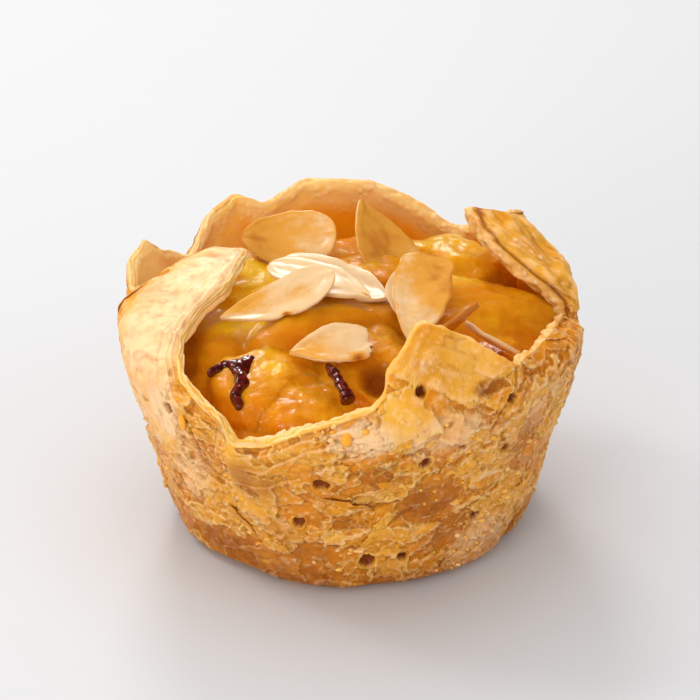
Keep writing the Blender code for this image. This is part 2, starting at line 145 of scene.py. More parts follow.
class Grain:
    """Seeded noise over arrays of points: smooth, fractal, and scattered cells."""

    def __init__(self, seed: int) -> None:
        """Draws the tables that the noise is read from."""
        rng = np.random.default_rng(seed)
        ways = rng.normal(size=(256, 3))
        self.ways = ways / np.linalg.norm(ways, axis=1, keepdims=True)
        self.order = rng.permutation(256)
        self.spots = rng.random((256, 3))
        self.tones = rng.random(256)

    def index(self, cell: np.ndarray) -> np.ndarray:
        """Gives each lattice cell its place in the tables."""
        found = self.order[cell[..., 0] & 255]
        for axis in (1, 2):
            found = self.order[(found + cell[..., axis]) & 255]
        return found

    def smooth(self, points: np.ndarray) -> np.ndarray:
        """Gives soft noise from about -1 to 1, one feature in each unit."""
        cell = np.floor(points).astype(int)
        part = points - cell
        ease = part**3 * (part * (part * 6 - 15) + 10)
        total = np.zeros(points.shape[:-1])
        for corner in product((0, 1), repeat=3):
            share = np.prod(np.where(corner, ease, 1 - ease), axis=-1)
            total += share * np.sum(self.ways[self.index(cell + corner)] * (part - corner), axis=-1)
        return total * 1.6

    def fractal(self, points: np.ndarray, octaves: int = 3, gain: float = 0.5) -> np.ndarray:
        """Gives smooth noise with finer and weaker copies added."""
        return sum(gain**k * self.smooth(points * 2.03**k + 17.3 * k) for k in range(octaves))

    def cells(self, points: np.ndarray) -> tuple[np.ndarray, np.ndarray]:
        """Finds the nearest scattered spot, of one in each unit: its distance, and its own number, 0 to 1."""
        cell = np.floor(points).astype(int)
        nearest, tone = np.full(points.shape[:-1], 9.0), np.zeros(points.shape[:-1])
        for shift in product((-1, 0, 1), repeat=3):
            index = self.index(cell + shift)
            away = np.linalg.norm(cell + shift + self.spots[index] - points, axis=-1)
            tone = np.where(away < nearest, self.tones[index], tone)
            nearest = np.minimum(nearest, away)
        return nearest, tone

    def beads(self, points: np.ndarray, size: float) -> np.ndarray:
        """Gives round beads, each with its own height, one in each unit."""
        away, own = self.cells(points)
        return np.sqrt(clamp(1.0 - (away / size) ** 2)) * (0.3 + 0.7 * own)


def deselect() -> None:
    """Leaves nothing selected."""
    if bpy.context.mode != "OBJECT":
        bpy.ops.object.mode_set(mode="OBJECT")
    bpy.ops.object.select_all(action="DESELECT")


def pick(obj: bpy.types.Object) -> None:
    """Makes obj the only selected and the active object."""
    deselect()
    obj.select_set(True)
    bpy.context.view_layer.objects.active = obj


def name_piece(name: str) -> bpy.types.Object:
    """Names the object that was just added, and its mesh."""
    obj = bpy.context.active_object
    obj.name = obj.data.name = name
    return obj


def change(obj: bpy.types.Object, kind: str, **settings: Any) -> None:
    """Runs one modifier on a mesh, with these settings, and applies it."""
    modifier = obj.modifiers.new(kind.lower(), kind)
    for name, value in settings.items():
        setattr(modifier, name, value)
    bpy.ops.object.modifier_apply(modifier=modifier.name)


def paint(obj: bpy.types.Object, **fields: Any) -> None:
    """Stores attributes on a mesh: for each name one number, or a number or a vector for each point."""
    count = len(obj.data.vertices)
    for name, values in fields.items():
        values = np.asarray(values, np.float32)
        values = values if values.ndim else np.full(count, values, np.float32)
        kind, key = ("FLOAT_VECTOR", "vector") if values.ndim == 2 else ("FLOAT", "value")
        obj.data.attributes.new(name, kind, "POINT").data.foreach_set(key, values.ravel())


def read(obj: bpy.types.Object, what: str) -> np.ndarray:
    """Reads "co" or "normal" of each point of a mesh."""
    found = np.empty(len(obj.data.vertices) * 3)
    obj.data.vertices.foreach_get(what, found)
    return found.reshape(-1, 3)


def places_of(obj: bpy.types.Object) -> np.ndarray:
    """Reads the points of a mesh, in millimetres."""
    return read(obj, "co") / MM


def place_all(obj: bpy.types.Object, points: np.ndarray) -> None:
    """Moves the points of a mesh to these places, in millimetres."""
    obj.data.vertices.foreach_set("co", (np.asarray(points) * MM).ravel())
    obj.data.update()


def lay_sheet(name: str, points: np.ndarray, fields: dict[str, np.ndarray]) -> bpy.types.Object:
    """Lays a flat grid primitive on a surface and closes it.

    Args:
        name: the piece's name.
        points: (rows, columns, 3), in millimetres.
        fields: for each attribute, its (rows, columns) values.

    Returns:
        The object.
    """
    rows, columns = points.shape[:2]
    deselect()
    bpy.ops.mesh.primitive_grid_add(x_subdivisions=columns - 1, y_subdivisions=rows - 1, size=2.0)
    obj = name_piece(name)
    flat = places_of(obj) * MM
    column = np.rint((flat[:, 0] + 1.0) / 2.0 * (columns - 1)).astype(int)
    row = np.rint((flat[:, 1] + 1.0) / 2.0 * (rows - 1)).astype(int)
    place_all(obj, points[row, column])
    paint(obj, **{key: values[row, column] for key, values in fields.items()})
    close_up(obj)
    return obj


def close_up(obj: bpy.types.Object, reach: float = 1e-4) -> None:
    """Merges the points that meet, and turns the faces outwards."""
    pick(obj)
    bpy.ops.object.mode_set(mode="EDIT")
    bpy.ops.mesh.select_all(action="SELECT")
    bpy.ops.mesh.remove_doubles(threshold=reach * MM)
    bpy.ops.mesh.dissolve_degenerate(threshold=reach * MM)
    bpy.ops.mesh.normals_make_consistent(inside=False)
    bpy.ops.object.mode_set(mode="OBJECT")


def mesh_from_arrays(name: str, points: Any, edges: Any, faces: Any) -> bpy.types.Object:
    """Makes an object of points in millimetres, and of edges and faces as rows of point numbers."""
    mesh = bpy.data.meshes.new(name)
    mesh.from_pydata((np.asarray(points) * MM).tolist(), edges, np.asarray(faces).tolist())
    mesh.update()
    obj = bpy.data.objects.new(name, mesh)
    bpy.context.scene.collection.objects.link(obj)
    return obj


def round_shape(subdivisions: int) -> tuple[np.ndarray, np.ndarray]:
    """Gives the points of a ball 1 mm in radius, and its faces."""
    deselect()
    bpy.ops.mesh.primitive_ico_sphere_add(subdivisions=subdivisions, radius=MM)
    ball = name_piece("ball")
    points, faces = places_of(ball), np.array([tuple(p.vertices) for p in ball.data.polygons])
    bpy.data.objects.remove(ball)
    return points, faces


def finish_piece(obj: bpy.types.Object, material: bpy.types.Material, slot: str, *nodes: str) -> None:
    """Shades a piece smooth, gives it its material, and ties it to the frame."""
    pick(obj)
    bpy.ops.object.shade_smooth()
    obj.data.materials.clear()
    obj.data.materials.append(material)
    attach(obj, "root")
    if nodes:
        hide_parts(*nodes)
    LOG.info("%s: %d faces", obj.name, len(obj.data.polygons))


# ---------------------------------------------------------------- the pastry


@dataclass(frozen=True)
class PastryForm:
    """The pastry's shape: a sheet pressed in a tin, its free edge standing and folded over."""

    floor_radius: float = 28.6
    floor_flat_radius: float = 25.4
    wall_flare: float = 0.272
    root_height: float = 23.0
    out_of_round: float = 0.35
    wall: float = 2.7
    corner_bend: float = 68.0
    rim_ease: float = 0.8
    upright_knee: float = 0.42
    knee_radius: float = 37.7
    knee_weight: float = 3.0
    knee_reach: float = 0.08
    lap_ramp: float = 1.3
    lap_tail: float = 26.0
    # Where a fold laps over its neighbour: turn, step, and the height at which it fades out.
    laps: tuple = ((237.5, 1.1, 15.0), (316.0, -0.8, 27.0), (176.0, 0.7, 20.0), (119.0, 0.7, 18.0))
    # The sheet's cut edge: root turn, turn, radius, height, and how sharply it folds over.
    rim: tuple = (
        (4.0, 4.0, 34.9, 33.6, 0.80), (9.0, 6.6, 34.6, 35.4, 0.95), (14.0, 8.5, 31.8, 37.8, 1.05),
        (18.0, 12.0, 28.4, 40.2, 0.90), (22.0, 19.5, 25.0, 43.2, 0.70), (26.0, 29.5, 24.0, 45.2, 0.60),
        (29.5, 38.0, 24.8, 46.9, 0.55), (34.0, 37.5, 29.9, 43.5, 0.75), (38.5, 38.5, 36.8, 41.8, 0.75),
        (44.0, 44.0, 37.4, 39.8, 0.60), (50.0, 50.0, 36.8, 37.2, 0.50), (60.0, 60.0, 36.0, 34.2, 0.45),
        (74.0, 74.5, 36.4, 38.3, 0.45), (85.0, 85.0, 36.6, 40.6, 0.45), (104.0, 104.0, 36.6, 41.2, 0.45),
        (115.0, 115.0, 35.6, 38.4, 0.45), (122.0, 122.5, 37.6, 40.4, 0.50), (131.0, 131.0, 37.4, 38.4, 0.50),
        (141.0, 141.0, 35.4, 33.8, 0.40), (149.0, 149.5, 37.2, 36.2, 0.45), (157.0, 157.0, 38.0, 40.2, 0.50),
        (165.0, 165.5, 38.1, 39.0, 0.50), (174.0, 171.0, 36.8, 35.6, 0.60), (179.0, 171.0, 33.0, 38.6, 0.80),
        (184.0, 164.5, 29.0, 41.0, 0.65), (189.0, 158.5, 24.6, 42.6, 0.55), (194.0, 155.5, 19.6, 42.8, 0.55),
        (201.0, 187.0, 21.0, 41.6, 0.60), (208.0, 197.5, 26.4, 40.2, 0.68), (215.0, 208.0, 31.4, 38.2, 0.68),
        (222.0, 218.5, 35.4, 35.6, 0.55), (229.0, 229.0, 36.4, 33.4, 0.45), (235.5, 235.5, 36.8, 32.0, 0.45),
        (239.5, 239.5, 37.2, 28.8, 0.45), (247.5, 247.5, 36.9, 29.6, 0.45), (258.0, 258.0, 36.8, 33.4, 0.45),
        (268.0, 268.0, 36.6, 35.8, 0.45), (275.5, 275.5, 36.2, 37.6, 0.45), (279.0, 278.5, 35.0, 39.6, 0.40),
        (282.0, 279.2, 34.0, 42.2, 0.35), (285.0, 282.0, 33.0, 44.2, 0.35), (288.0, 286.0, 31.2, 45.6, 0.32),
        (290.5, 289.0, 29.3, 47.0, 0.30), (293.0, 292.5, 28.6, 47.8, 0.30), (297.0, 297.5, 30.2, 47.0, 0.30),
        (302.0, 302.5, 31.6, 45.5, 0.32), (308.0, 308.5, 35.0, 43.0, 0.36), (313.0, 313.0, 36.8, 40.6, 0.45),
        (315.5, 315.5, 36.9, 39.8, 0.45), (318.5, 319.5, 34.6, 38.6, 0.70), (328.0, 329.5, 33.9, 38.2, 0.80),
        (341.0, 341.0, 33.6, 37.4, 0.85), (353.0, 352.5, 33.5, 36.1, 0.85),
    )  # fmt: skip

    def rim_line(self, roots: np.ndarray) -> tuple[np.ndarray, np.ndarray]:
        """Follows the cut edge: straight stretches, eased at their ends.

        Args:
            roots: the root turns.

        Returns:
            The edge's points, and how sharply the sheet folds there.
        """
        table = np.array(self.rim)
        corners = np.column_stack([table[:, 0], turned(table[:, 1], table[:, 2], table[:, 3]), table[:, 4]])
        eased = np.zeros((len(roots), 4))
        spread = np.linspace(-2.0, 2.0, 9)
        weights = np.exp(-0.5 * spread**2)
        for shift, weight in zip(spread * self.rim_ease, weights / weights.sum()):
            eased += weight * np.stack([by_turn(roots + shift, corners, k) for k in (1, 2, 3, 4)], axis=-1)
        return eased[:, :3], eased[:, 3]

    def lap_step(self, turn: Any, height: Any) -> np.ndarray:
        """Gives how far a lapping fold stands out of the wall."""
        out = np.zeros(np.broadcast(turn, height).shape)
        for lap, step, foot in self.laps:
            away = apart(turn, lap)
            edge = smooth_step(-self.lap_ramp / 2, self.lap_ramp / 2, away)
            fade = clamp(1.0 - np.abs(away) / self.lap_tail)
            out += step * smooth_step(foot - 4.0, foot + 8.0, height) * fade * (edge - 0.5)
        return out

    def wall_radius(self, turn: Any, height: Any) -> np.ndarray:
        """Gives the outside of the wall, before its flakes."""
        angle = np.radians(turn)
        wobble = self.out_of_round * (np.cos(2 * angle - 0.6) + 0.7 * np.sin(3 * angle + 0.4))
        share = clamp(height / self.root_height)
        return self.floor_radius + self.wall_flare * height + share * wobble + self.lap_step(turn, height)

    def outside(self, turns: np.ndarray, floor: Any, corner_rows: int, wall: Any, free: Any) -> np.ndarray:
        """Builds rings of the outer face, from the floor up to the rim.

        Args:
            turns: the root turns of the columns.
            floor: shares of the flat floor's radius.
            corner_rows: how many rings the rounded corner has.
            wall: shares of the wall's height, to where the free edge is rooted.
            free: shares of the free part, to the cut edge.

        Returns:
            (rings, columns, 3) points.
        """
        corner = self.floor_radius - self.floor_flat_radius
        rings = [turned(turns, self.floor_flat_radius * share + 0 * turns, 0.0) for share in floor]
        start = 0.0
        for share in np.linspace(0.0, 1.0, corner_rows + 1)[1:]:
            bend = share * math.radians(self.corner_bend)
            start = corner * (1.0 - math.cos(bend)) * 0.8
            radius = self.wall_radius(turns, 0.0) - corner * (1.0 - math.sin(bend))
            rings.append(turned(turns, radius, start))
        for share in wall:
            height = start + (self.root_height - start) * share
            rings.append(turned(turns, self.wall_radius(turns, height), height))
        edge, fold = self.rim_line(turns)
        rise = self.upright_knee + (0.96 - self.upright_knee) * fold
        knee_height = self.root_height + (edge[:, 2] - self.root_height) * rise
        knee_radius = np.minimum(self.knee_radius, self.wall_radius(turns, knee_height))
        knee_radius = knee_radius + self.lap_step(turns, knee_height)
        knee_radius += self.knee_reach * (self.knee_radius - np.hypot(edge[:, 0], edge[:, 1]))
        knee = turned(turns, knee_radius, knee_height)
        share = np.linspace(0.0, 1.0, 160)[:, None, None]
        pull = ((1 - share) ** 2, 2 * self.knee_weight * share * (1 - share), share**2)
        curve = (pull[0] * rings[-1] + pull[1] * knee + pull[2] * edge) / sum(pull)
        length = np.cumsum(np.linalg.norm(np.diff(curve, axis=0, prepend=curve[:1]), axis=-1), axis=0)
        even = np.empty((len(free), len(turns), 3))
        for column, axis in product(range(len(turns)), range(3)):
            along = length[:, column]
            even[:, column, axis] = np.interp(np.asarray(free) * along[-1], along, curve[:, column, axis])
        return np.concatenate([np.array(rings), even])

    def facing(self, turns: np.ndarray, rows: tuple) -> np.ndarray:
        """Gives the outward direction at each point of the outer face, even across sharp folds."""
        rings = self.outside(np.arange(120) * 3.0, *rows)
        around = np.roll(rings, -1, axis=1) - np.roll(rings, 1, axis=1)
        out = np.cross(around, np.gradient(rings, axis=0))
        out /= np.maximum(np.linalg.norm(out, axis=-1, keepdims=True), 1e-9)
        for _ in range(5):
            out = (np.roll(out, 1, axis=1) + 2 * out + np.roll(out, -1, axis=1)) / 4
        place = (turns % 360.0) / 3.0
        low = np.floor(place).astype(int)
        share = (place - low)[None, :, None]
        out = out[:, low % 120] * (1 - share) + out[:, (low + 1) % 120] * share
        return out / np.maximum(np.linalg.norm(out, axis=-1, keepdims=True), 1e-9)


@dataclass
class PastryCase:
    """The baked case: its skin of torn flakes, blisters, prick holes, laps and laminated cut edge."""

    form: PastryForm = field(default_factory=PastryForm)
    columns: int = 600
    front_turn: float = 272.0
    front_spread: float = 105.0
    floor_rows: tuple = (0.0, 0.35, 0.7, 0.9, 1.0)
    corner_rows: int = 5
    wall_rows: int = 64
    free_rows: int = 52
    edge_rows: int = 10
    # The rings of the inner face, counted back from the cut edge.
    inner_rows: tuple = (
        -2, -4, -7, -10, -13, -16, -20, -24, -28, -32, -36, -40, -46, -52, -56, -64, -76, -90, -104
    )  # fmt: skip
    # Broken layers, the outermost first: name, feature size and step in mm, how much more than half is left.
    sheets: tuple = (("outer", 11.0, 0.28, -0.06), ("middle", 7.0, 0.22, 0.04), ("inner", 4.2, 0.15, 0.10))
    # How far each thing stands out of the skin, in mm.
    blister_rise: float = 0.50
    dome_rise: float = 0.20
    bead_rise: float = 0.22
    crumple_rise: float = 0.11
    streak_rise: float = 0.40
    lump_rise: float = 0.48
    wrinkle_rise: float = 0.24
    bubble_rise: float = 0.32
    # How deep each thing lies in it, in mm.
    crease_depth: float = 0.12
    gash_depth: float = 0.35
    fold_depth: float = 0.28
    prick_radius: float = 1.12
    prick_depth: float = 1.25
    # Prick holes: root turn, height, and size against a full hole.
    pricks: tuple = (
        (255.1, 15.2, 1.0), (262.2, 23.8, 1.15), (288.6, 27.4, 1.0), (288.0, 40.0, 0.8), (311.6, 35.3, 0.95),
        (312.9, 25.0, 0.9), (298.1, 28.7, 0.55), (308.4, 12.0, 0.8), (274.3, 6.8, 1.2), (284.8, 7.4, 0.8),
        (219.1, 31.0, 0.8), (350.0, 17.0, 1.0), (20.0, 25.0, 1.0), (52.0, 12.0, 1.0),
        (84.0, 24.0, 1.0), (112.0, 14.0, 1.0), (146.0, 22.0, 1.0), (190.0, 12.0, 1.0),
    )  # fmt: skip
    # Soft patches on the skin: root turn, height, half width in degrees, half height in mm, amount.
    browned_and_shade: tuple = (
        (245, 23, 9, 5, 0.8), (252, 12, 12, 3, 0.4), (276, 25, 5, 2.4, 0.9), (268, 15.6, 4, 2, 0.7),
        (257, 8, 8, 3, 0.8), (291, 18, 11, 4.5, 1.0), (305, 38.4, 5, 1.4, 1.2), (300, 11, 8, 4, 0.7),
        (322, 24, 7, 6, 0.5), (240, 5, 26, 4, 0.7), (60, 12, 26, 8, 0.7), (120, 20, 20, 7, 0.6),
        (160, 8, 24, 6, 0.7), (5, 10, 16, 7, 0.7), (28, 44, 18, 7, 0.32), (297, 44, 12, 6, 0.26),
    )  # fmt: skip
    paled: tuple = (
        (204, 40, 20, 9, 0.9), (204, 28, 18, 9, 0.45), (297, 43, 14, 6, 0.12), (273, 33, 9, 4, 0.8),
        (293, 32, 14, 5, 0.5), (216, 30, 7, 7, 0.9), (222, 20, 9, 8, 0.5), (312, 6, 14, 6, 0.55),
        (245, 14, 10, 2.5, 0.3), (308.5, 20, 5, 2, 0.7), (325, 30, 8, 6, 0.4), (35, 34, 18, 6, 0.5),
        (130, 34, 18, 6, 0.6), (85, 36, 18, 6, 0.5),
    )  # fmt: skip
    unbroken: tuple = (
        (204, 41, 22, 9, 1.0), (244, 22, 8, 7, 0.9), (246, 6, 16, 4, 0.6), (204, 30, 16, 9, 0.6),
        (297, 44, 15, 7, 1.3), (284, 37, 8, 6, 0.7), (30, 42, 22, 7, 1.0), (238, 27, 5, 3, 0.5),
    )  # fmt: skip
    beaded: tuple = (
        (313, 6, 14, 6, 1.0), (305, 27, 12, 5, 0.7), (252, 6, 9, 3, 0.7), (236, 24, 2.6, 9, 1.0),
        (270, 31, 8, 2.5, 0.6), (60, 18, 20, 8, 0.6), (140, 12, 20, 8, 0.6),
    )  # fmt: skip
    streaked: tuple = ((226, 20, 12, 18, 0.8), (334, 22, 18, 18, 0.45), (100, 22, 30, 14, 0.5))
    lumpy: tuple = (
        (28, 42, 24, 9, 1.0), (204, 40, 20, 8, 0.8), (352, 36, 10, 5, 0.5), (297, 43, 14, 6, 0.45)
    )  # fmt: skip
    # Tears and cracks: half width in mm, then the root turns and heights that each runs through.
    tears: tuple = (
        (0.36, ((264.6, 21.1), (268.0, 20.8), (271.4, 21.2))),
        (0.42, ((274.9, 18.2), (278.1, 18.9), (280.7, 19.6))),
        (0.38, ((281.1, 15.8), (283.5, 16.5), (286.4, 17.3))),
        (0.22, ((313.5, 40.0), (312.9, 37.6), (312.2, 36.5), (310.0, 34.9), (307.8, 33.2), (306.4, 30.9))),
        (0.18, ((308.3, 36.0), (307.2, 34.2), (305.6, 32.2))),
        (0.34, ((224.5, 30.0), (226.0, 27.0), (226.6, 23.0))),
        (0.30, ((262.0, 11.0), (268.0, 9.8), (272.0, 10.4))),
        (0.30, ((80.0, 20.0), (92.0, 18.6), (99.0, 19.6))),
        (0.30, ((150.0, 14.0), (158.0, 15.0), (165.0, 14.2))),
    )
    # Where the sheets end one below another under the cut edge: root turn, half width, step in mm.
    terraced: tuple = ((203, 26, 0.20), (257, 18, 0.22), (150, 16, 0.12), (292, 10, 0.08))
    terraces: tuple = (1.1, 3.4, 7.2)
    # The cut edge by root turn: how thick it is in mm, and how clearly its layers show.
    edges: tuple = (
        (0, 2.6, 0.2), (6, 2.8, 0.15), (12, 2.4, 0.15), (45, 2.3, 0.15), (60, 2.0, 0.1), (115, 2.0, 0.1),
        (122, 1.6, 0.3), (135, 1.7, 0.3), (176, 1.6, 0.6), (188, 1.9, 1.0), (195, 2.6, 1.0), (203, 1.7, 1.0),
        (226, 1.7, 0.9), (238, 1.9, 0.8), (256, 2.1, 0.8), (272, 1.8, 0.6), (279, 1.7, 0.05),
        (312, 1.5, 0.05), (320, 1.8, 0.3), (335, 2.6, 0.25),
    )  # fmt: skip
    # By root turn, from 0 to 1: beads on the cut edge, its folded crease, its pale lip, the dry inside of
    # the folded flap, and the syrup on the cut edge and on the inside.
    beady: tuple = (
        (0, 1), (46, 1), (60, 0.45), (118, 0.45), (190, 0.2), (270, 0.2), (325, 0.6), (350, 1)
    )  # fmt: skip
    folded: tuple = ((0, 0.8), (6, 0.9), (10, 1), (44, 1), (50, 0), (335, 0), (350, 0.7))
    # The pale lip is partly the dry pastry's own colour, partly painted light on the shaded inside.
    lip: tuple = ((0, 0.7), (46, 0.7), (62, 1), (118, 1), (124, 0.4), (140, 0.9), (192, 0.9), (215, 0))
    dry: tuple = ((0, 0), (128, 0), (142, 1), (190, 1), (202, 0))
    dripped: tuple = ((0, 0.05), (45, 0.05), (60, 0), (320, 0), (335, 0.2))
    soaked: tuple = ((0, 1), (118, 1), (124, 0.4), (140, 0), (186, 0), (215, 0.6), (235, 1))
    # By root turn, over how many mm below the cut edge the syrup comes in.
    soaks_over: tuple = ((0, 4), (50, 4), (62, 6), (116, 6), (124, 4))

    def root_turns(self) -> np.ndarray:
        """Spreads the columns, closer together at the front."""
        fine = np.linspace(0.0, 360.0, 2881)
        near = np.exp(-0.5 * (apart(fine, self.front_turn) / (0.55 * self.front_spread)) ** 2)
        summed = np.concatenate([[0.0], np.cumsum(1.0 + (near[1:] + near[:-1]) / 2)])
        return np.interp(np.linspace(0.0, summed[-1], self.columns + 1), summed, fine)

    def patch(self, table: tuple, turn: np.ndarray, height: np.ndarray) -> np.ndarray:
        """Adds up soft-edged patches over the wall."""
        total = np.zeros(turn.shape)
        for at_turn, at_height, wide, high, amount in table:
            away = np.hypot(apart(turn, at_turn) / wide, (height - at_height) / high)
            total = np.maximum(total, amount * (1.0 - smooth_step(0.45, 1.25, away)))
        return total

    def skin(self, places: np.ndarray, turn: np.ndarray) -> tuple[np.ndarray, dict[str, np.ndarray]]:
        """Works out the skin's relief and its fields of colour.

        Args:
            places: points of the outer face.
            turn: their root turns.

        Returns:
            How proud the skin stands, and the fields by name.
        """
        grain, fine, height = Grain(7), Grain(23), places[..., 2]
        tables = (self.browned_and_shade, self.paled, self.unbroken, self.beaded, self.streaked, self.lumpy)
        browned_and_shade, paled, whole, beads, streaks, lumps = (self.patch(table, turn, height) for table in tables)
        # The sheets break in shapes wider than they are high, with ragged edges.
        flat = places * np.array([1.0, 1.0, 1.5])
        ragged = np.stack([fine.fractal(places / 2.0 + k * 9.1) for k in range(3)], axis=-1)
        relief, fields = np.zeros(turn.shape), {}
        for number, (name, size, step, keep) in enumerate(self.sheets):
            left = grain.fractal((flat + 0.75 * ragged) / size + number * 5.7, 3, 0.45)
            away = (left + keep + 0.9 * whole + 0.30 * paled - 0.50 * browned_and_shade) * size / 1.8
            fields[name] = np.clip(away, -2.0, 2.0)
            relief += step * (smooth_step(-0.2, 0.2, away) - 0.5 + 0.5 * hump(away, 0.3, 0.28))
        # Blisters: broad ones, domes, and beads.
        bubble, own = fine.cells(places / 3.8)
        dome = np.where(own > 0.70, clamp(1.0 - (bubble / 0.50) ** 2), 0.0)
        beads = smooth_step(0.25, 0.75, grain.fractal(places / 7.0 + 77.0, 2) + beads)
        knob = beads * grain.beads(places / 1.35 + 40.0, 0.60)
        relief += self.blister_rise * grain.smooth(places / 10.0 + 3.3)
        relief += self.dome_rise * dome + self.bead_rise * knob
        relief += self.crumple_rise * fine.fractal(flat / 2.2 + 5.0) * (1.0 - 0.6 * np.minimum(whole, 1.0))
        relief += self.streak_rise * streaks * grain.fractal(places / np.array([2.8, 2.8, 17.0]), 2)
        # Lumps, drawn out along the folds, with creases between.
        along = places @ np.array([[0.71, 0.71, 0.0], [-0.71, 0.71, 0.0], [0.0, 0.0, 1.0]])
        along = along / np.array([9.0, 2.7, 3.6])
        crease = lumps * hump(grain.smooth(along * 1.2 + 90.0), 0.0, 0.07)
        lump = self.lump_rise * grain.fractal(places / 3.0 + 13.0, 2)
        lump += self.wrinkle_rise * grain.smooth(along + 21.0)
        lump += self.bubble_rise * clamp(1.0 - (bubble / 0.62) ** 2)
        relief += lumps * lump - self.crease_depth * crease
        own = grain.cells((flat + 0.9 * ragged) / 5.0 + 60.0)[1]
        tone = 0.5 + 0.50 * grain.fractal(places / 8.0 + 31.0) + 0.28 * (own - 0.5)
        # Painted highlight: the tops of the domes and beads are made lighter.
        fields["tone"] = clamp(tone + 0.25 * dome + 0.4 * knob)
        # Brown patches, darker towards the bottom, and painted shade in the creases between the lumps.
        fields["browned_and_shade"] = clamp(browned_and_shade + 0.85 * smooth_step(11.0, 1.0, height) + 0.6 * crease)
        # Pale patches, and painted highlight on the bead tops.
        fields["paled"] = clamp(paled + 0.55 * knob)
        fields["knob"] = clamp(2.0 * knob + 0.6 * beads)
        fields["broken"] = clamp(1.0 - 1.2 * whole)
        return relief, fields

    def spot(self, at_turn: float, at_height: float) -> np.ndarray:
        """Finds the point of the outer face nearest to a root turn and a height."""
        column = self.outer[:, int(np.argmin(np.abs(apart(self.turns, at_turn))))]
        return column[int(np.argmin(np.abs(column[:, 2] - at_height)))]

    def torn(self) -> np.ndarray:
        """Gives how deep into a tear or crack each point of the outer face is, from 0 to 1."""
        points = self.outer
        deep, wavy = np.zeros(points.shape[:2]), 0.16 * Grain(29).fractal(points / 0.9, 2)
        for wide, line in self.tears:
            spots = [self.spot(*at) for at in line]
            for start, stop in zip(spots, spots[1:]):
                way = stop - start
                share = clamp(((points - start) @ way) / (way @ way))
                away = np.linalg.norm(points - start - share[..., None] * way, axis=-1) + wavy
                deep = np.maximum(deep, 1.0 - smooth_step(0.5 * wide, 1.25 * wide, away))
        return deep

    def prick(self) -> tuple[np.ndarray, np.ndarray]:
        """Gives how deep in a prick hole, and how near one, each point of the outer face is, from 0 to 1."""
        deep, near = np.zeros((2, *self.outer.shape[:2]))
        uneven = 1.0 + 0.30 * Grain(83).fractal(self.outer / 1.6, 2)
        for at_turn, at_height, size in self.pricks:
            away = np.linalg.norm(self.outer - self.spot(at_turn, at_height), axis=-1)
            radius = self.prick_radius * size * uneven
            deep = np.maximum(deep, 1.0 - smooth_step(0.72 * radius, 1.08 * radius, away))
            near = np.maximum(near, 1.0 - smooth_step(radius, 1.7 * radius, away))
        return deep, near

    def terrace(self, fields: dict[str, np.ndarray]) -> np.ndarray:
        """Steps the skin down towards the cut edge, sheet by sheet, with a painted highlight along each
        step's edge and a painted shadow just below it.

        Args:
            fields: the fields of colour, which it changes.

        Returns:
            The relief that it adds.
        """
        grain = Grain(53)
        wavy = 0.8 * grain.fractal(self.outer / 8.0, 2) + 0.16 * grain.fractal(self.outer / 1.6, 2)
        total, share = np.zeros((2, *self.outer.shape[:2]))
        for middle, half, step in self.terraced:
            beside = np.abs(apart(self.turns, middle)) / half
            share = np.maximum(share, step * (1.0 - smooth_step(0.6, 1.1, beside)))
        for reach in self.terraces:
            away = self.from_rim - reach - wavy * (0.5 + 0.25 * reach**0.5)
            total += share * (smooth_step(-0.14, 0.14, away) - 0.35)
            # Painted highlight on the raised side of each step's edge, and painted shadow just below it.
            fields["paled"] = clamp(fields["paled"] + 0.5 * share / 0.3 * hump(away, 0.25, 0.3))
            fields["browned_and_shade"] = clamp(fields["browned_and_shade"] + 0.45 * share / 0.3 * hump(away, -0.30, 0.22))
        return total

    def outer_face(self) -> dict[str, np.ndarray]:
        """Works out the outer face and keeps its rings of points.

        Returns:
            Its fields of colour.
        """
        self.turns = self.root_turns()
        free = np.linspace(0.0, 1.0, self.free_rows + 1)[1:]
        rows = (self.floor_rows, self.corner_rows, np.linspace(0.0, 1.0, self.wall_rows + 1)[1:], free)
        outer = self.outer = self.form.outside(self.turns, *rows)
        self.out = self.form.facing(self.turns, rows)
        steps = np.linalg.norm(np.diff(outer, axis=0, append=outer[-1:]), axis=-1)
        self.from_rim = steps[::-1].cumsum(axis=0)[::-1]
        relief, fields = self.skin(outer, np.broadcast_to(self.turns, outer.shape[:2]))
        (deep, near), gash = self.prick(), self.torn()
        for name in SHEETS:
            fields[name] = fields[name] * (1.0 - near) + near
        fields["broken"] *= 1.0 - near
        relief *= (1.0 - 0.4 * near) * (1.0 - deep) * smooth_step(0.4, 3.0, outer[..., 2])
        relief[-self.free_rows :] *= 1.0 - 0.45 * smooth_step(0.93, 1.0, free)[:, None]
        relief += self.terrace(fields)
        # How far the relief lies below its smoothed self; the finish paints shade in hollows and highlight on
        # tops.
        hollow = relief.copy()
        for _, axis in product(range(6), (0, 1)):
            hollow = (np.roll(hollow, 1, axis) + 2 * hollow + np.roll(hollow, -1, axis)) / 4
        fields["hollow"] = np.clip((hollow - relief) / 0.16, -1.0, 1.0)
        # The fold's crease is dug in and darkened: painted shade in the crease.
        fold = hump(self.from_rim, 0.40, 0.34) * by_turn(self.turns, self.folded)
        fields["browned_and_shade"] = np.maximum(fields["browned_and_shade"], 1.4 * fold)
        # Painted shade: dark colour inside the prick holes and tears, and along the fold's crease.
        fields["pit"] = np.maximum(np.maximum(np.minimum(2.6 * deep, 1.0), 0.6 * gash), 0.50 * fold)
        lift = relief - self.fold_depth * fold - self.prick_depth * deep - self.gash_depth * gash
        self.shell = outer + self.out * lift[..., None]
        return fields

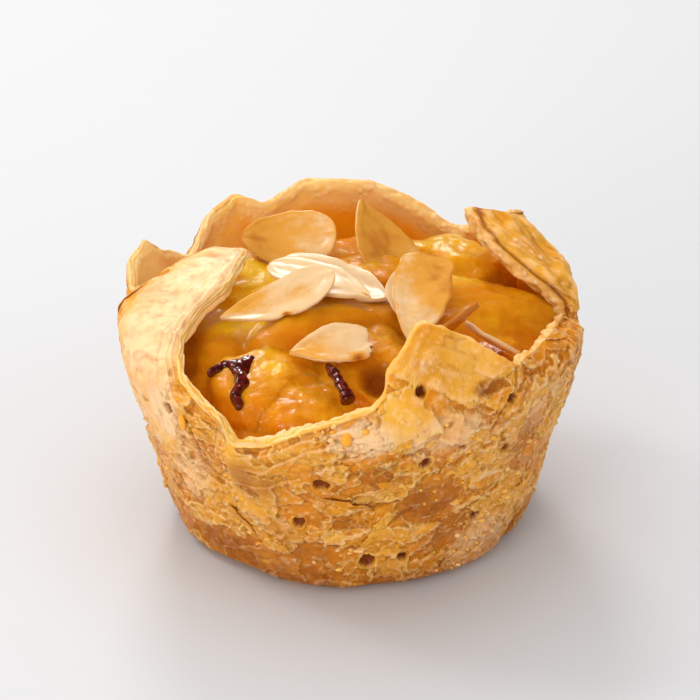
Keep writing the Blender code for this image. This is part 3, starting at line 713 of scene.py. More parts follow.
    def cut_edge(self, thick: np.ndarray, layered: np.ndarray) -> tuple[np.ndarray, np.ndarray]:
        """Builds the cut edge: the layers have puffed apart, so it is ridged along its length.

        Args:
            thick: its thickness in mm, by column.
            layered: how clearly its layers show, by column.

        Returns:
            Its rings of points, and how high a bead stands at each point.
        """
        grain, rings, beads = Grain(41), [], []
        beady = by_turn(self.turns, self.beady)
        for share in np.linspace(0.0, 1.0, self.edge_rows + 2)[1:-1]:
            base = self.shell[-1] * (1 - share) + self.rim_in * share
            arch = math.sin(math.pi * share)
            ridge = 0.13 * layered * math.cos(2 * math.pi * 3.0 * share + 0.4)
            fray = (0.22 + 0.50 * layered) * grain.fractal(self.outer[-1] / 2.6 + share * 1.6)
            bead = grain.beads(base / 1.5, 0.66)
            knobs = beady * (1.25 * bead - 0.3 + 0.35 * grain.smooth(base / 3.4))
            lift = 0.42 * thick * arch**0.6 + ridge + (fray + knobs) * arch
            rings.append(base + self.reach * lift[:, None])
            beads.append(bead * beady)
        return np.array(rings), np.array(beads)

    def inner_face(self, edge_thick: np.ndarray) -> tuple[np.ndarray, np.ndarray]:
        """Builds the inner face, from below the rim to the middle of the floor.

        Args:
            edge_thick: the thickness of the cut edge in mm, by column.

        Returns:
            Its rings of points, and how high a bead stands on those of the wall.
        """
        form, grain, rows = self.form, Grain(41), list(self.inner_rows)
        thick = edge_thick + (form.wall - edge_thick) * smooth_step(0.0, 7.0, self.from_rim)
        inner = self.outer - self.out * thick[..., None]
        inner[-1] = self.rim_in
        beads = grain.beads(inner / 1.6, 0.66) * by_turn(self.turns, self.beady)
        beads *= hump(self.from_rim, 0.0, 2.4) * (self.from_rim > 0)
        inner = inner + self.out * (0.18 * grain.fractal(inner / 5.0) - 0.8 * beads)[..., None]
        foot = inner[len(self.floor_rows) + 1]
        foot_turn = np.degrees(np.arctan2(foot[:, 1], foot[:, 0]))
        foot = turned(foot_turn, form.wall_radius(foot_turn, 3.0) - form.wall - 1.0, form.wall)
        middle = np.broadcast_to([0.0, 0.0, form.wall], foot.shape)
        return np.array([*inner[rows], foot, middle]), beads[rows]

    def fields_behind(self, behind: np.ndarray, cut_beads: np.ndarray, beads: np.ndarray) -> dict:
        """Works out the fields of colour behind the outer face.

        Args:
            behind: the points of the cut edge and the inner face.
            cut_beads: how high a bead stands on the cut edge.
            beads: how high a bead stands on the inner wall.

        Returns:
            The fields by name.
        """
        shape, cut = behind.shape[:2], len(cut_beads)
        _, inside = self.skin(behind, np.broadcast_to(self.turns, shape))
        near_rim, knobby = np.ones(shape), np.zeros(shape)
        near_rim[cut + 1 : -2] = hump(self.from_rim[list(self.inner_rows)], 0.0, 3.8)
        near_rim[-2:] = 0.0
        knobby[:cut], knobby[cut + 1 : -2] = cut_beads, beads
        # Near the rim the inside is paler and lighter: its dry pastry, and painted light in its shade.
        lip, dry, beady = (by_turn(self.turns, table) for table in (self.lip, self.dry, self.beady))
        # The bead tops on the inside get a painted highlight.
        inside["paled"] = clamp(0.4 * inside["paled"] + 0.42 * near_rim * lip + 0.60 * dry + 0.7 * knobby)
        inside["tone"] = clamp(0.6 * inside["tone"] + 0.9 * near_rim * lip + 0.35 * dry)
        inside["browned_and_shade"] *= 0.25
        # Painted shade between the beads of the cut edge.
        inside["browned_and_shade"][:cut] = 0.5 * clamp(beady - 1.6 * cut_beads)
        inside["knob"] = clamp(0.3 * inside["knob"] + near_rim * np.maximum(beady, 0.35))
        inside |= {name: np.full(shape, 2.0) for name in SHEETS}
        inside |= {name: np.zeros(shape) for name in ("broken", "pit", "hollow")}
        return inside

    def build(self, material: bpy.types.Material) -> bpy.types.Object:
        """Makes the case as one closed mesh.

        Args:
            material: its baked finish.

        Returns:
            The piece.
        """
        fields = self.outer_face()
        thick, layered = (by_turn(self.turns, self.edges, column) for column in (1, 2))
        reach = self.outer[-1] - self.outer[-3]
        self.reach = reach / np.linalg.norm(reach, axis=-1, keepdims=True)
        self.rim_in = self.outer[-1] - self.out[-1] * thick[:, None]
        cut, cut_beads = self.cut_edge(thick, layered)
        inner, beads = self.inner_face(thick)
        points = np.array([*self.shell, *cut, self.rim_in, *inner])
        inside = self.fields_behind(points[len(self.shell) :], cut_beads, beads)
        fields = {key: np.concatenate([values, inside[key]]) for key, values in fields.items()}
        # Across the cut edge from the outside, its layers, and the syrup on it and inside.
        first, last = len(self.shell), len(self.shell) + len(cut)
        layers, across, wet = np.zeros((3, *points.shape[:2]))
        across[first - 1 : last + 1] = np.linspace(0.0, 1.0, len(cut) + 2)[:, None]
        across[last + 1 :] = 1.0
        layers[first:last] = layered
        wet[first:last] = by_turn(self.turns, self.dripped) * np.linspace(0.6, 1.0, len(cut))[:, None]
        below = self.from_rim[list(self.inner_rows)] / by_turn(self.turns, self.soaks_over)
        wet[last + 1 : -2] = smooth_step(0.25, 1.0, below) * by_turn(self.turns, self.soaked)
        wet[-2:] = 1.0
        case = lay_sheet("pastry_case_baked", points, fields | {"cut": layers, "across": across, "wet": wet})
        finish_piece(case, material, "pastry", "pastry_case")
        return case


@dataclass
class LooseFlakes:
    """Thin plates of pastry that have lifted off the skin, and the crumbs between them."""

    case: PastryCase
    plates: int = 66
    spokes: int = 64
    thickness: float = 0.16
    sunk: float = 0.16
    seed: int = 5
    rings: tuple = (0.0, 0.42, 0.70, 0.90, 1.0)
    # How the outline of a plate strays, from coarse to fine: share of its size, and how fine.
    ragged: tuple = ((0.34, 1.1), (0.20, 3.1), (0.10, 7.0), (0.07, 15.0))
    # How many of the plates tried are kept, and where more or fewer: root turn, half width, above which
    # height, share. The last that fits counts.
    kept: float = 0.45
    kept_here: tuple = (
        (300.0, 62.0, 0.0, 0.85), (225.0, 14.0, 0.0, 0.22), (292.0, 14.0, 36.0, 0.22), (27.0, 24.0, 28.0, 0.0)
    )  # fmt: skip
    crumbs: int = 300
    # The plates that stand out on the front: root turn, height, half sizes, tilt, lift, free side.
    special: tuple = (
        (265.1, 12.9, 2.1, 1.9, 0, 0.30, -90), (236.9, 12.7, 3.6, 1.0, -50, 0.45, 120),
        (268.6, 19.6, 4.4, 1.3, -21, 0.55, 80), (278.4, 14.5, 5.2, 1.5, 54, 0.40, 150),
        (302.5, 31.1, 1.7, 1.4, 20, 0.45, -80), (306.2, 35.7, 1.6, 1.2, 0, 0.35, -90),
        (325.4, 21.6, 2.0, 1.5, 30, 0.5, -90), (308.5, 19.9, 2.2, 1.2, 10, 0.5, -90),
        (324.8, 13.5, 1.8, 1.3, 60, 0.5, 0), (281.9, 31.8, 2.0, 1.1, -10, 0.45, -90),
        (299.0, 24.4, 2.6, 1.3, 25, 0.5, -80), (259.0, 26.0, 2.2, 1.0, -12, 0.35, -90),
    )  # fmt: skip
    # Where crumbs gather: root turn, height, spread in degrees, spread in mm. The rest lie anywhere.
    nests: tuple = (
        (309, 7, 13, 5), (313, 15, 10, 5), (300, 27, 12, 5), (262, 33, 10, 3), (236, 24, 2.2, 6),
        (270, 9, 8, 3), (240, 12, 9, 4), (328, 26, 8, 7), (60, 20, 30, 12), (130, 14, 30, 10),
        (20, 12, 16, 8), (180, 16, 16, 8),
    )  # fmt: skip

    def skin_at(self, turn: Any, row: Any) -> tuple[np.ndarray, np.ndarray]:
        """Reads the finished skin between its points.

        Args:
            turn: root turns.
            row: rows of the case's mesh, with fractions.

        Returns:
            The places and the outward directions.
        """
        case = self.case
        column = np.interp(np.asarray(turn) % 360.0, case.turns, np.arange(len(case.turns)))
        low = np.minimum(np.floor(column).astype(int), len(case.turns) - 2)
        row = np.clip(row, 0.0, len(case.shell) - 1.001)
        under = np.floor(row).astype(int)
        across, up = (column - low)[..., None], (row - under)[..., None]
        found = []
        for grid in (case.shell, case.out):
            rows = [grid[r, low] * (1 - across) + grid[r, low + 1] * across for r in (under, under + 1)]
            found.append(rows[0] * (1 - up) + rows[1] * up)
        return found[0], found[1]

    def row_at(self, turn: float, height: float) -> float:
        """Finds the row of the outer face at this height above this root turn."""
        column = int(np.argmin(np.abs(apart(self.case.turns, turn))))
        heights = np.maximum.accumulate(self.case.shell[:, column, 2])
        return float(np.interp(height, heights, np.arange(len(heights))))

    def plate(self, plate: tuple, seed: float, grain: Grain) -> tuple[np.ndarray, np.ndarray]:
        """Shapes one plate: ragged, sunk into the skin on one side and lifted on the other.

        Args:
            plate: its root turn, row, half sizes in mm, tilt, lift in mm, and the direction of its free side.
            seed: what makes its outline its own.
            grain: the noise of its outline.

        Returns:
            Its points, both faces, and how near each is to the edge.
        """
        turn, row, wide, high, tilt, lift, way = plate
        angle = np.arange(self.spokes) * 2 * math.pi / self.spokes
        circle = turned(np.degrees(angle), 1.0, 0.0)
        ragged = 1.0 + sum(amount * grain.smooth(circle * fine + seed) for amount, fine in self.ragged)
        share = np.array(self.rings)[:, None] * np.ones_like(angle)
        x, y = np.cos(angle) * ragged * share * wide, np.sin(angle) * ragged * share * high
        lean = math.radians(tilt)
        x, y = x * math.cos(lean) - y * math.sin(lean), x * math.sin(lean) + y * math.cos(lean)
        strip = self.case.shell[:, int(np.argmin(np.abs(apart(self.case.turns, turn))))]
        arc = np.concatenate([[0.0], np.cumsum(np.linalg.norm(np.diff(strip, axis=0), axis=1))])
        radius = max(math.hypot(*strip[int(row), :2]), 8.0)
        steps = np.arange(len(arc))
        rows = np.interp(np.interp(row, steps, arc) + y, arc, steps)
        place, out = self.skin_at(turn + np.degrees(x / radius), rows)
        free = (np.cos(angle - math.radians(way)) * share + 1.0) / 2.0
        rise = (lift + self.sunk) * smooth_step(0.15, 1.0, free) - self.sunk
        rise += 0.06 * grain.smooth(place / 1.4 + seed)
        half = self.thickness * 0.5 * (1.0 - 0.55 * share**4)
        return np.stack([place + out * (rise + side * half)[..., None] for side in (1, -1)]), share

    def scatter(self, rng: np.random.Generator) -> list[tuple]:
        """Spreads the plates over the wall, more where the pastry broke up.

        Args:
            rng: the seeded draw.

        Returns:
            For each plate its place, sizes, tilt, lift and free side.
        """
        found = [(turn, self.row_at(turn, height), *rest) for turn, height, *rest in self.special]
        taken = (*self.case.pricks, *self.special)
        while len(found) < self.plates:
            turn, height = rng.uniform(0, 360), rng.uniform(2.5, 38.0)
            keep = self.kept
            for middle, half, above, share in self.kept_here:
                keep = share if abs(apart(turn, middle)) < half and height > above else keep
            if rng.random() > keep:
                continue
            if min(math.hypot(apart(turn, at[0]) * 0.58, height - at[1]) for at in taken) < 3.0:
                continue
            big = rng.random() ** 2.2
            wide, high = 0.9 + 3.4 * big, 0.6 + 1.7 * big * rng.uniform(0.6, 1.2)
            tilt, lift = rng.normal(-8.0 if turn > 270 else 6.0, 16.0), rng.uniform(0.04, 0.28)
            way = rng.choice([-90.0, -60.0, -120.0, 0.0, 180.0, 90.0], p=[0.34, 0.2, 0.2, 0.1, 0.1, 0.06])
            found.append((turn, self.row_at(turn, height), wide, high, tilt, lift, way + rng.normal(0, 14)))
        return found

    def build(self, material: bpy.types.Material) -> None:
        """Makes the plates and the crumbs, each kind as one piece.

        Args:
            material: the loose flakes' finish.
        """
        rng, grain = np.random.default_rng(self.seed), Grain(self.seed)
        points, fields = [], []
        for number, plate in enumerate(self.scatter(rng)):
            made, share = self.plate(plate, number * 3.7, grain)
            points.append(made)
            tone, top = rng.uniform(0.2, 0.8), rng.choice([-COVERED, COVERED], p=[0.2, 0.8])
            # Painted highlight: each plate is paler towards its edge, over a random pale tone.
            pale = 0.20 * rng.random() + np.stack([share, share]) ** 4 * 0.4 * rng.uniform(0.1, 1.0)
            fields.append([np.full(pale.shape, tone), np.full(pale.shape, top), pale])
        points = np.array(points)
        index = np.arange(points[..., 0].size).reshape(points.shape[:4])
        after = np.roll(index, -1, axis=3)
        top, low = index[:, 0], index[:, 1]
        over, under = after[:, 0], after[:, 1]
        faces = (
            (top[:, :-1], top[:, 1:], over[:, 1:], over[:, :-1]),
            (low[:, :-1], under[:, :-1], under[:, 1:], low[:, 1:]),
            (top[:, -1], low[:, -1], under[:, -1], over[:, -1]),
        )
        quads = np.concatenate([np.stack(corners, -1).reshape(-1, 4) for corners in faces])
        flakes = mesh_from_arrays("pastry_flakes", points.reshape(-1, 3), [], quads)
        tone, outer, paled = np.array(fields).transpose(1, 0, 2, 3, 4).reshape(3, -1)
        paint(flakes, tone=tone, outer=outer, paled=paled)
        paint(flakes, middle=COVERED, inner=COVERED, broken=1.0, hollow=0.15)
        close_up(flakes)
        finish_piece(flakes, material, "pastry")
        self.scatter_crumbs(rng, grain, material)

    def scatter_crumbs(self, rng: np.random.Generator, grain: Grain, material: bpy.types.Material) -> None:
        """Makes the small round crumbs that stick to the skin in clusters."""
        unit, corners = round_shape(2)
        points, faces = [], []
        for number in range(self.crumbs):
            if rng.random() < 0.8:
                at_turn, at_height, wide, high = self.nests[rng.integers(len(self.nests))]
            else:
                at_turn, at_height, wide, high = rng.uniform(0, 360), 20.0, 20.0, 12.0
            turn = rng.normal(at_turn, wide / 1.6)
            height = np.clip(rng.normal(at_height, high / 1.6), 1.2, 36.0)
            size = 0.20 + 0.34 * rng.random() ** 2
            place, out = self.skin_at(np.array([turn]), np.array([self.row_at(turn, height)]))
            uneven = 1.0 + 0.35 * grain.smooth(unit * 1.2 + number * 1.9)[:, None]
            shape = unit * uneven * size * np.array([rng.uniform(0.8, 1.4), rng.uniform(0.8, 1.3), 0.8])
            faces.append(corners + number * len(unit))
            points.append(shape + place - out * size * 0.15)
        crumbs = mesh_from_arrays("pastry_crumbs", np.concatenate(points), [], np.concatenate(faces))
        for field_name, least, most in (("tone", 0.3, 1.0), ("paled", 0.0, 0.5)):
            paint(crumbs, **{field_name: np.repeat(rng.uniform(least, most, self.crumbs), len(unit))})
        paint(crumbs, outer=COVERED, middle=COVERED, inner=COVERED)
        finish_piece(crumbs, material, "pastry")


@dataclass
class RimSheets:
    """Single thin layers of dough that stick up out of the cut edge, and a few drops of syrup."""

    case: PastryCase
    stations: int = 110
    thickness: float = 0.15
    # Root turns from and to, share across the cut edge, width in mm, lean inwards in degrees.
    sheets: tuple = (
        (240, 262, 0.75, 1.7, 62), (246, 268, 0.45, 1.3, 30), (238, 250, 0.25, 0.9, -12),
        (262, 276, 0.8, 1.2, 66), (196, 222, 0.30, 1.0, 10), (199, 214, 0.85, 1.3, 48),
        (212, 234, 0.60, 1.1, 26), (183, 196, 0.40, 1.0, 8), (122, 140, 0.50, 0.9, 15),
        (145, 166, 0.40, 0.9, 10), (318, 334, 0.70, 1.0, 50), (226, 238, 0.10, 0.8, -20),
    )  # fmt: skip
    # Root turn, height, half width, half height, how proud, in mm.
    drops: tuple = (
        (268.5, 33.2, 0.85, 1.15, 0.75), (223.4, 29.4, 0.7, 1.5, 0.45), (273.2, 34.6, 0.5, 0.5, 0.4)
    )  # fmt: skip

    def sheet(
        self, number: int, start: float, stop: float, share: float, wide: float, lean: float
    ) -> np.ndarray:
        """Shapes one layer along the edge: pointed at both ends, ragged on its free side.

        Args:
            number: its place in the list, which makes it its own.
            start, stop: root turns.
            share: where it grows from, 0 at the outer and 1 at the inner side of the cut edge.
            wide, lean: in mm and degrees.

        Returns:
            (stations, loop, 3) points in mm.
        """
        case, grain = self.case, Grain(300 + number)
        turn, along = np.linspace(start, stop, self.stations), np.linspace(0.0, 1.0, self.stations)
        outer, inner, reach, out = (
            np.stack([np.interp(turn, case.turns, grid[:, k]) for k in range(3)], axis=-1)
            for grid in (case.shell[-1], case.rim_in, case.reach, case.out[-1])
        )
        base = outer * (1 - share) + inner * share - reach * 0.35
        width = wide * np.sin(math.pi * along) ** 0.45 * (1.0 + 0.30 * grain.fractal(base / 1.6)) + 0.35
        curl = math.radians(lean) * (0.7 + 0.5 * grain.smooth(base / 5.0))
        across = np.linspace(0.0, 1.0, 7)[None, :, None]
        bend, reach, out = across * curl[:, None, None], reach[:, None], out[:, None]
        way = reach * np.cos(bend) - out * np.sin(bend)
        middle = base[:, None] + way * across * width[:, None, None]
        side = (reach * np.sin(bend) + out * np.cos(bend)) * self.thickness / 2 * (1.0 - 0.6 * across**3)
        side = side * clamp(12 * np.minimum(along, 1 - along))[:, None, None]
        return np.concatenate([middle + side, (middle - side)[:, ::-1]], axis=1)

    def build(self, material: bpy.types.Material) -> None:
        """Makes the layers as one piece, and the drops as one piece.

        Args:
            material: the loose flakes' finish.
        """
        loops = np.array([self.sheet(number, *row) for number, row in enumerate(self.sheets)])
        index = np.arange(loops[..., 0].size).reshape(loops.shape[:3])
        after = np.roll(index, -1, axis=2)
        sides = np.stack([index[:, :-1], after[:, :-1], after[:, 1:], index[:, 1:]], -1).reshape(-1, 4)
        made = mesh_from_arrays("pastry_rim_sheets", loops.reshape(-1, 3), [], sides)
        paint(made, tone=0.8, paled=0.55, outer=COVERED, middle=COVERED, inner=COVERED)
        close_up(made)
        finish_piece(made, material, "pastry")
        self.make_drops(material)

    def make_drops(self, material: bpy.types.Material) -> None:
        """Makes the drops: domes that sit on the skin."""
        unit, corners = round_shape(4)
        flakes, points, faces = LooseFlakes(self.case), [], []
        for number, (turn, height, wide, high, proud) in enumerate(self.drops):
            place, out = flakes.skin_at(np.array([turn]), np.array([flakes.row_at(turn, height)]))
            side = np.cross([0.0, 0.0, 1.0], out[0])
            side /= np.linalg.norm(side)
            axes = np.array([side * wide, np.cross(out[0], side) * high, out[0] * proud])
            points.append(place + (1.0 + 0.12 * Grain(number).smooth(unit * 1.3)[:, None]) * (unit @ axes))
            faces.append(corners + number * len(unit))
        drops = mesh_from_arrays("syrup_drops", np.concatenate(points), [], np.concatenate(faces))
        paint(drops, tone=0.6, wet=0.4, outer=COVERED, middle=COVERED, inner=COVERED)
        finish_piece(drops, material, "pastry")


# ---------------------------------------------------------------- the filling


@dataclass
class AppleFilling:
    """Cooked apple: soft blocks sunk in one another, wet with syrup, with a pulpy grain."""

    form: PastryForm = field(default_factory=PastryForm)
    voxel: float = 0.40
    cut_height: float = 20.0
    floor_height: float = 3.2
    core_top: float = 28.0
    core_crown: float = 6.0
    reach: float = 0.35
    squareness: float = 3.1
    # Middle, size, turn, dip, lean of each block.
    blocks: tuple = (
        ((-22.0, -8.0, 28.0), (20, 24, 14), -8, 0, 6), ((-13.5, -17.5, 29.0), (18, 16, 13), 30, 4, 12),
        ((-4.0, -4.5, 32.5), (28, 17, 14), 8, 0, 4), ((4.5, -14.0, 30.5), (20, 18, 13), 50, 6, 8),
        ((-5.5, -23.0, 28.0), (20, 14, 12), -8, 4, 14), ((22.5, -0.5, 32.8), (23, 22, 11), -6, 17, 13),
        ((-1.0, 20.0, 31.0), (24, 18, 13), 0, 0, -4), ((15.5, 19.0, 31.0), (24, 17, 14), 140, 0, 4),
        ((-17.5, 9.0, 32.0), (20, 18, 13), 40, 0, 0), ((2.0, 6.5, 33.0), (24, 18, 14), 20, 0, 0),
        ((15.0, -18.5, 30.5), (20, 14, 13), 35, 0, 4), ((21.5, -12.5, 29.5), (16, 15, 13), 60, 0, 0),
        ((-7.0, -27.0, 24.0), (16, 10, 9), -15, 0, 8),
    )  # fmt: skip
    # Where the syrup is deeper in colour, partly painted shade, and where it is bright yellow: x, y, reach,
    # amount.
    deep: tuple = (
        (-27, -10, 8, 0.3), (-20, -20, 7, 0.35), (9, -26, 6, 1.0), (-9, -14, 4, 0.8), (2, 27, 9, 0.9),
        (30, -8, 7, 0.8), (20, -14, 8, 0.7), (-14, -27, 5, 0.6), (-4, -31, 4, 0.8), (-5, -24, 7, 0.45),
        (17, 3, 7, 0.4),
    )  # fmt: skip
    bright: tuple = (
        (-19, 3, 11, 2.1), (20, 20, 12, 0.5), (16, 6, 6, 0.6), (-4, -27, 3.5, 0.3), (-13, -16, 5, 0.3)
    )  # fmt: skip
    # Pockets between the pieces, coloured dark as painted shade, plain dips, and where the flesh is pulpy.
    pockets: tuple = ((4.2, -19.8, 3.6, 0.9), (26.5, -17.5, 3.2, 0.6), (-27.5, -14.0, 3.0, 0.4))
    dips: tuple = ((2.5, -1.0, 5.0, 1.0), (-1.0, 3.0, 4.0, 0.8))
    pulpy: tuple = (
        (-6, -24, 8, 0.8), (-15, -17, 5, 0.4), (4, -12, 8, 0.6), (14, 4, 7, 0.4), (-1, -4, 7, 0.4)
    )  # fmt: skip
    # How high its lumps stand, and how deep its pockets and dips are, in mm.
    lump_rise: float = 0.30
    fine_lump_rise: float = 0.14
    pocket_depth: float = 1.8
    dip_depth: float = 0.9

    def cavity(self, turn: Any, height: Any) -> np.ndarray:
        """Gives the inside radius of the pastry, and a little into it so that no gap shows."""
        slope = math.cos(math.atan(self.form.wall_flare))
        return self.form.wall_radius(turn, height) - self.form.wall / slope + self.reach

    def core(self) -> bpy.types.Object:
        """Makes the apple under the blocks, from just below what shows to a low crown."""
        turns, brim = np.linspace(0.0, 360.0, 97), self.core_top - 1.2
        sides = [(0.0, 14.0, 14.0), (1.0, 14.0, 14.0), (1.0, 20.0, 20.0), (1.0, brim, brim)]
        crown = [
            (share, brim, self.core_top + self.core_crown * (1.0 - share**2))
            for share in (0.97, 0.8, 0.6, 0.4, 0.2, 0.0)
        ]
        rings = [turned(turns, self.cavity(turns, at) * share, height) for share, at, height in sides + crown]
        return lay_sheet("apple_core", np.array(rings), {})

    def lie(self, turn: float, dip: float, lean: float) -> np.ndarray:
        """Gives the rotation that sets a block down, its angles in degrees."""
        return np.array(Euler(map(math.radians, (lean, dip, turn)), "XYZ").to_matrix())

    def block(self, number: int, middle: tuple, size: tuple, *angles: float) -> bpy.types.Object:
        """Makes one block: rounded, with flat cut faces, uneven, and pressed in by the pastry.

        Args:
            number: its place in the list, which makes it its own.
            middle, size: in mm.
            angles: turn, dip and lean, how it lies.

        Returns:
            The block.
        """
        deselect()
        bpy.ops.mesh.primitive_ico_sphere_add(subdivisions=6, radius=MM)
        obj = name_piece(f"apple_block_{number}")
        grain, rng = Grain(100 + number), np.random.default_rng(200 + number)
        unit = places_of(obj)
        unit /= np.linalg.norm(unit, axis=1, keepdims=True)
        length = np.sum(np.abs(unit) ** self.squareness, axis=1) ** (-1.0 / self.squareness)
        for _ in range(5):
            way = rng.normal(size=3)
            towards = unit @ (way / np.linalg.norm(way))
            wall = rng.uniform(0.78, 0.93) / np.maximum(towards, 1e-3)
            length = np.where(towards > 0.05, -0.06 * np.logaddexp(-length / 0.06, -wall / 0.06), length)
        length *= 1.0 + 0.06 * grain.smooth(unit * 1.7) + 0.03 * grain.smooth(unit * 4.0)
        half = unit * length[:, None] * np.array(size) / 2.0
        place = half @ self.lie(*angles).T + np.array(middle)
        around = np.degrees(np.arctan2(place[:, 1], place[:, 0]))
        most = self.cavity(around, np.minimum(place[:, 2], self.form.root_height + 3.0))
        out = np.maximum(np.hypot(place[:, 0], place[:, 1]), 1e-6)
        place[:, :2] *= np.minimum(1.0, most / out)[:, None]
        place_all(obj, place)
        return obj

    def own_block(self, points: np.ndarray) -> tuple[np.ndarray, np.ndarray]:
        """Finds which block each point belongs to.

        Args:
            points: in mm.

        Returns:
            The block's number, and the point in that block's own frame.
        """
        own = np.stack([(points - middle) @ self.lie(*angles) for middle, _, *angles in self.blocks])
        half = np.array([size for _, size, *_ in self.blocks])[:, None] / 2.0
        number = np.argmin(np.sum(np.abs(own / half) ** self.squareness, axis=-1), axis=0)
        return number, own[number, np.arange(len(points))]

    def hollows(self, obj: bpy.types.Object, passes: int) -> np.ndarray:
        """Gives how far each point lies below the average of its surroundings, in mm."""
        points, ends = places_of(obj), np.array([tuple(e.vertices) for e in obj.data.edges])
        count, level = len(points), points.copy()
        near = np.maximum(np.bincount(ends.ravel(), minlength=count), 1)[:, None]
        for _ in range(passes):
            total = [
                sum(np.bincount(ends[:, here], level[ends[:, 1 - here], axis], count) for here in (0, 1))
                for axis in range(3)
            ]
            level = 0.5 * level + 0.5 * np.stack(total, axis=-1) / near
        return np.sum((level - points) * read(obj, "normal"), axis=1)

    def spread(self, table: tuple, points: np.ndarray) -> np.ndarray:
        """Adds up soft round patches seen from above."""
        total = np.zeros(len(points))
        for x, y, reach, amount in table:
            away = np.hypot(points[:, 0] - x, points[:, 1] - y) / reach
            total = np.maximum(total, amount * (1.0 - smooth_step(0.3, 1.2, away)))
        return total

    def build(self, material: bpy.types.Material) -> None:
        """Makes the filling as one piece.

        Args:
            material: the glazed apple finish.
        """
        parts = [self.core()] + [self.block(number, *block) for number, block in enumerate(self.blocks)]
        pick(parts[0])
        for part in parts:
            part.select_set(True)
        bpy.ops.object.join()
        heap = name_piece("apple_filling_glazed")
        change(heap, "REMESH", mode="VOXEL", voxel_size=self.voxel * MM)
        change(heap, "SMOOTH", factor=0.5, iterations=3)
        self.stand_on_floor(heap)
        points, grain = places_of(heap), Grain(61)
        number, own = self.own_block(points)
        showing = smooth_step(self.cut_height + 1.0, self.cut_height + 4.0, points[:, 2])
        tables = (self.deep, self.bright, self.pulpy, self.pockets, self.dips)
        deep, bright, pulpy, pocket, dip = (self.spread(table, points) for table in tables)
        # Soft lumps, and strands that run along each block.
        lumps = self.lump_rise * grain.fractal(points / 5.2)
        lumps += self.fine_lump_rise * grain.fractal(points / 1.9, 2)
        stretch = np.array([0.42, 2.0, 1.0])
        strands = grain.fractal(own * stretch / 1.2 + number[:, None] * 7.3, 2)
        rise = lumps + (0.05 + 0.14 * pulpy) * strands - self.pocket_depth * pocket - self.dip_depth * dip
        place_all(heap, points + read(heap, "normal") * (rise * showing)[:, None])
        # Painted in the finish: shade in the hollows, and highlight on what stands proud.
        sunk = self.hollows(heap, 24)
        paint(heap, sunk=smooth_step(0.02, 0.75, sunk), proud=smooth_step(0.02, 0.60, -sunk))
        paint(heap, tone=np.random.default_rng(8).random(len(self.blocks))[number])
        paint(heap, deep=deep, bright=bright, pulpy=pulpy, pocket=pocket)
        paint(heap, strand=own * stretch + number[:, None] * 7.3)
        finish_piece(heap, material, "apple", "apple_filling")

    def stand_on_floor(self, heap: bpy.types.Object) -> None:
        """Cuts off what never shows, and carries the cut edge down to the pastry's floor."""
        low, cut = self.floor_height, self.cut_height
        narrow = float((self.form.wall_radius(0, low) - 4.5) / (self.form.wall_radius(0, cut) - 2.4))
        down = {"value": (0, 0, (low - cut) * MM)}
        pick(heap)
        bpy.ops.object.mode_set(mode="EDIT")
        bpy.ops.mesh.select_all(action="SELECT")
        bpy.ops.mesh.bisect(plane_co=(0, 0, cut * MM), plane_no=(0, 0, 1), clear_inner=True, use_fill=False)
        bpy.ops.mesh.extrude_region_move(TRANSFORM_OT_translate=down)
        bpy.ops.transform.resize(value=(narrow, narrow, 1.0), center_override=(0, 0, low * MM))
        bpy.ops.mesh.edge_face_add()
        bpy.ops.mesh.select_all(action="SELECT")
        bpy.ops.mesh.normals_make_consistent(inside=False)
        bpy.ops.object.mode_set(mode="OBJECT")


# ---------------------------------------------------------------- the toppings


@dataclass(frozen=True)
class AlmondSlice:
    """One slice: where it lies, its outline, what is broken off, and how it is toasted."""

    name: str
    tail: tuple
    tip: tuple
    width: float
    roll: float
    bow: float
    kept: float = 1.0
    # Its outline: where it gets its full width from the tip, how pointed the tip and how blunt the tail is.
    shoulder: float = 0.5
    point: float = 0.85
    butt: float = 2.4
    # How fine its toasting is striped along and across it.
    grain: tuple = (1.5, 8.0)
    edge_toast: float = 0.35
    base_toast: float = 0.12
    # Toasted spots and nicks: share along (tail -1, tip 1), share across, reach, amount.
    spots: tuple = ()
    nicks: tuple = ()


